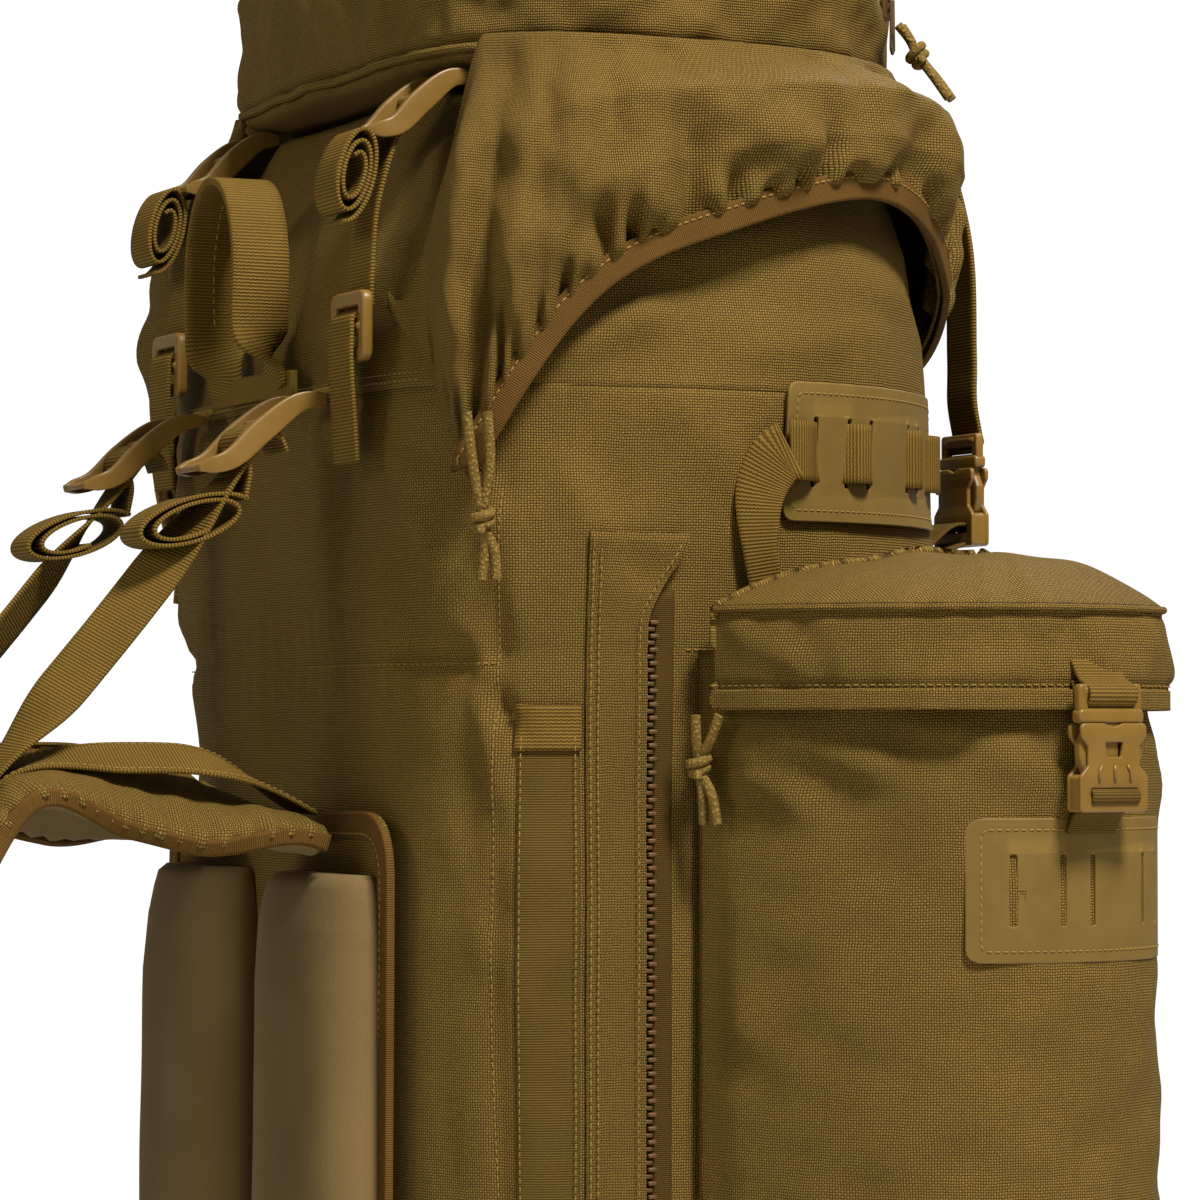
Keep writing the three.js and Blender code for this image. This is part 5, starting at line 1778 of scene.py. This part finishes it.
def flap_edge(z):
    """The zip flap's free edge: beside the teeth below, swinging forwards over the top."""
    return (168.3 + 5.4 * ramp(z, 545, 583)) * DEG


flap = side_band("zip_flap", 22, 583, 161.2, flap_edge, 1.3, 2.0, M_CORDURA, 22, 4.0, lambda s: 4.2 * s**3)
pair(flap, "zip_flap", "bag", slot="cordura")
tape = side_band("zip_tape", 56, 560, 167.3, 172.4, 0.4, 0.9, M_ZIP_TAPE, 16, 4.0)
points, faces = [], []
pitch = 2.7
cube = [(-1, -1, -1), (1, -1, -1), (1, 1, -1), (-1, 1, -1), (-1, -1, 1), (1, -1, 1), (1, 1, 1), (-1, 1, 1)]
quads = [(0, 3, 2, 1), (4, 5, 6, 7), (0, 1, 5, 4), (1, 2, 6, 5), (2, 3, 7, 6), (3, 0, 4, 7)]
for k, z in enumerate(np.arange(58, 548, pitch)):
    a = np.array([ZIP_ANGLE])
    c = body_surface(a, np.array([z]), 2.2)[0]
    nrm = body_normal(a, np.array([z]))[0]
    way = np.cross([0, 0, 1.0], nrm) * (1 if k % 2 else -1)
    base = len(points)
    for x, y, h in cube:
        w = 2.3 - 0.5 * (h > 0)
        points.append(
            c + way * (x * w + 0.9) + np.array([0, 0, y * (1.0 - 0.25 * (h > 0))]) + nrm * h * 1.3
        )
    faces += [tuple(base + i for i in q) for q in quads]
chain = mesh_object("zip_chain", np.array(points), faces, None, M_ZIP_TEETH, smooth=False)
bevel = chain.modifiers.new("edge", "BEVEL")
bevel.width = 0.35 * MM
bevel.segments = 2
pair(merged("zip_joined", [tape, chain]), "zip_chain", "bag", "zip", slot="zip")

seams = [
    side_line(153.4, 24, 504, 1.9), side_line(159.9, 24, 504, 1.9),
    side_line(161.7, 24, 580, 2.3), side_line(162.6, 24, 578, 2.3),
    side_line(lambda z: flap_edge(z) - 1.0 * DEG, 24, 580, 6.0),
    side_line(lambda z: (151.0 + 1.2 * np.sin(z / 90)) * DEG, 24, 600, 0.25),
]
for z, low, high in ((530.5, 100, 151), (643.5, 60, 141), (646.5, 60, 141), (536, 174, 181)):
    a = np.arange(low, high, 0.5) * DEG
    zz = np.full_like(a, z)
    seams.append(stitches("line", body_surface(a, zz, 0.3), body_normal(a, zz), M_THREAD, 3.4, 2.4, 0.28))
pair(merged("side_seams_joined", seams), "side_stitching", "bag", slot="cordura")

# ------------------------------------------------------------------ sliders
ZIP_SLIDER_AT = np.array([ZIP_ANGLE]), np.array([92.0])
spot = facing_out(on_body(*ZIP_SLIDER_AT, 0.6)[0], body_normal(*ZIP_SLIDER_AT)[0])


def slider(name):
    """A zip slider with its pull."""
    shape = rounded([(-7, 7), (-5.4, -7), (5.4, -7), (7, 7), (2, 7.4), (0, 4.5), (-2, 7.4)], 1.2)
    top = standing(plate(name, [shape], 2.0, 0.7, M_ZIP_TEETH), 5.6, 2.0)
    walls = [
        tube(name + "_wall", [(x, 3.4, -6), (x, 3.6, 0), (x * 1.12, 3.4, 6)], 1.4, M_ZIP_TEETH, 10)
        for x in (-5.2, 5.2)
    ]
    bridge = tube(
        name + "_bridge", spline([(0, 7.4, 3.4), (0, 9.4, 2), (0, 9.4, -1), (0, 7.4, -3)], 14), 1.0,
        M_ZIP_TEETH, 10
    )
    tag = plate(
        name + "_pull",
        [
            rounded([(-2.2, 3), (2.2, 3), (3.2, -24), (0, -27), (-3.2, -24)], 1.2),
            rect(-1.2, -1.6, 1.2, 1.6, 0.8)
        ],
        1.5, 0.5, M_ZIP_TEETH
    )
    return merged(name, [top, *walls, bridge, standing(tag, 9.2, 1.5)])


pair(place(slider("zip_slider"), spot), "zip_slider_body", "slider", "zip_slider")
small = slider("lid_slider")
small.data.transform(Matrix.Scale(0.78, 4))
finish(
    place(small, facing_out((-107.5, -107.5, 812), (-1, -1, 0))), "lid_zip", "lid_zip_slider", slot="zip"
)
small.name = "lid_zip_slider_body"

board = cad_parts["frame_sheet"]
board.data.materials.clear()
board.data.materials.append(M_BOARD)

# ------------------------------------------------------------------ stage and light
ground = grid_object(
    "ground",
    np.array([[[-1500, -1500, -1], [1500, -1500, -1]], [[-1500, 1500, -1], [1500, 1500, -1]]], float),
    *np.meshgrid([0, 1], [0, 1]), False, None
)
floor_material, g = material("floor", 0.9, 0.1)
g.put(g.mix(g.noise(g.place(), 3, 2), (0.78, 0.78, 0.78), (0.82, 0.82, 0.82)), g.bsdf.inputs["Base Color"])
ground.data.materials.append(floor_material)

world = bpy.data.worlds.new("studio")
bpy.context.scene.world = world
world.use_nodes = True
tree = world.node_tree
back = tree.nodes["Background"]
back.inputs["Color"].default_value = (1, 1, 1, 1)
path_node = tree.nodes.new("ShaderNodeLightPath")
strength = tree.nodes.new("ShaderNodeMapRange")
tree.links.new(path_node.outputs["Is Camera Ray"], strength.inputs[0])
WORLD_LIGHT, WORLD_SEEN = 0.3, 1.05
strength.inputs[3].default_value = WORLD_LIGHT
strength.inputs[4].default_value = WORLD_SEEN
tree.links.new(strength.outputs[0], back.inputs["Strength"])
# A white backdrop to the camera, a slightly warm light to the pack.
warm = tree.nodes.new("ShaderNodeMix")
warm.data_type = "RGBA"
warm.inputs["A"].default_value = (1.0, 0.93, 0.76, 1)
warm.inputs["B"].default_value = (1, 1, 1, 1)
tree.links.new(path_node.outputs["Is Camera Ray"], warm.inputs["Factor"])
tree.links.new(warm.outputs["Result"], back.inputs["Color"])


def area_light(name, place_at, target, size, power):
    """A square lamp facing a target."""
    data = bpy.data.lights.new(name, "AREA")
    data.shape = "SQUARE"
    data.size = size
    data.energy = power
    obj = bpy.data.objects.new(name, data)
    bpy.context.scene.collection.objects.link(obj)
    obj.location = place_at
    obj.rotation_euler = (Vector(target) - Vector(place_at)).to_track_quat("-Z", "Y").to_euler()


# Level directions as the camera sees them: to its right, and towards it.
right = Vector((-0.423, -0.906, 0))
toward = Vector((-0.906, 0.423, 0))
centre = Vector((0, 0, 0.5))
area_light("key", centre + right * 0.9 + toward * 1.4 + Vector((0, 0, 2.1)), centre, 0.5, 118)
area_light("fill", centre - right * 1.9 + toward * 0.9 + Vector((0, 0, 0.9)), centre, 0.8, 10)
area_light("rim", centre - toward * 1.4 + right * 0.9 + Vector((0, 0, 1.6)), centre, 1.0, 16)
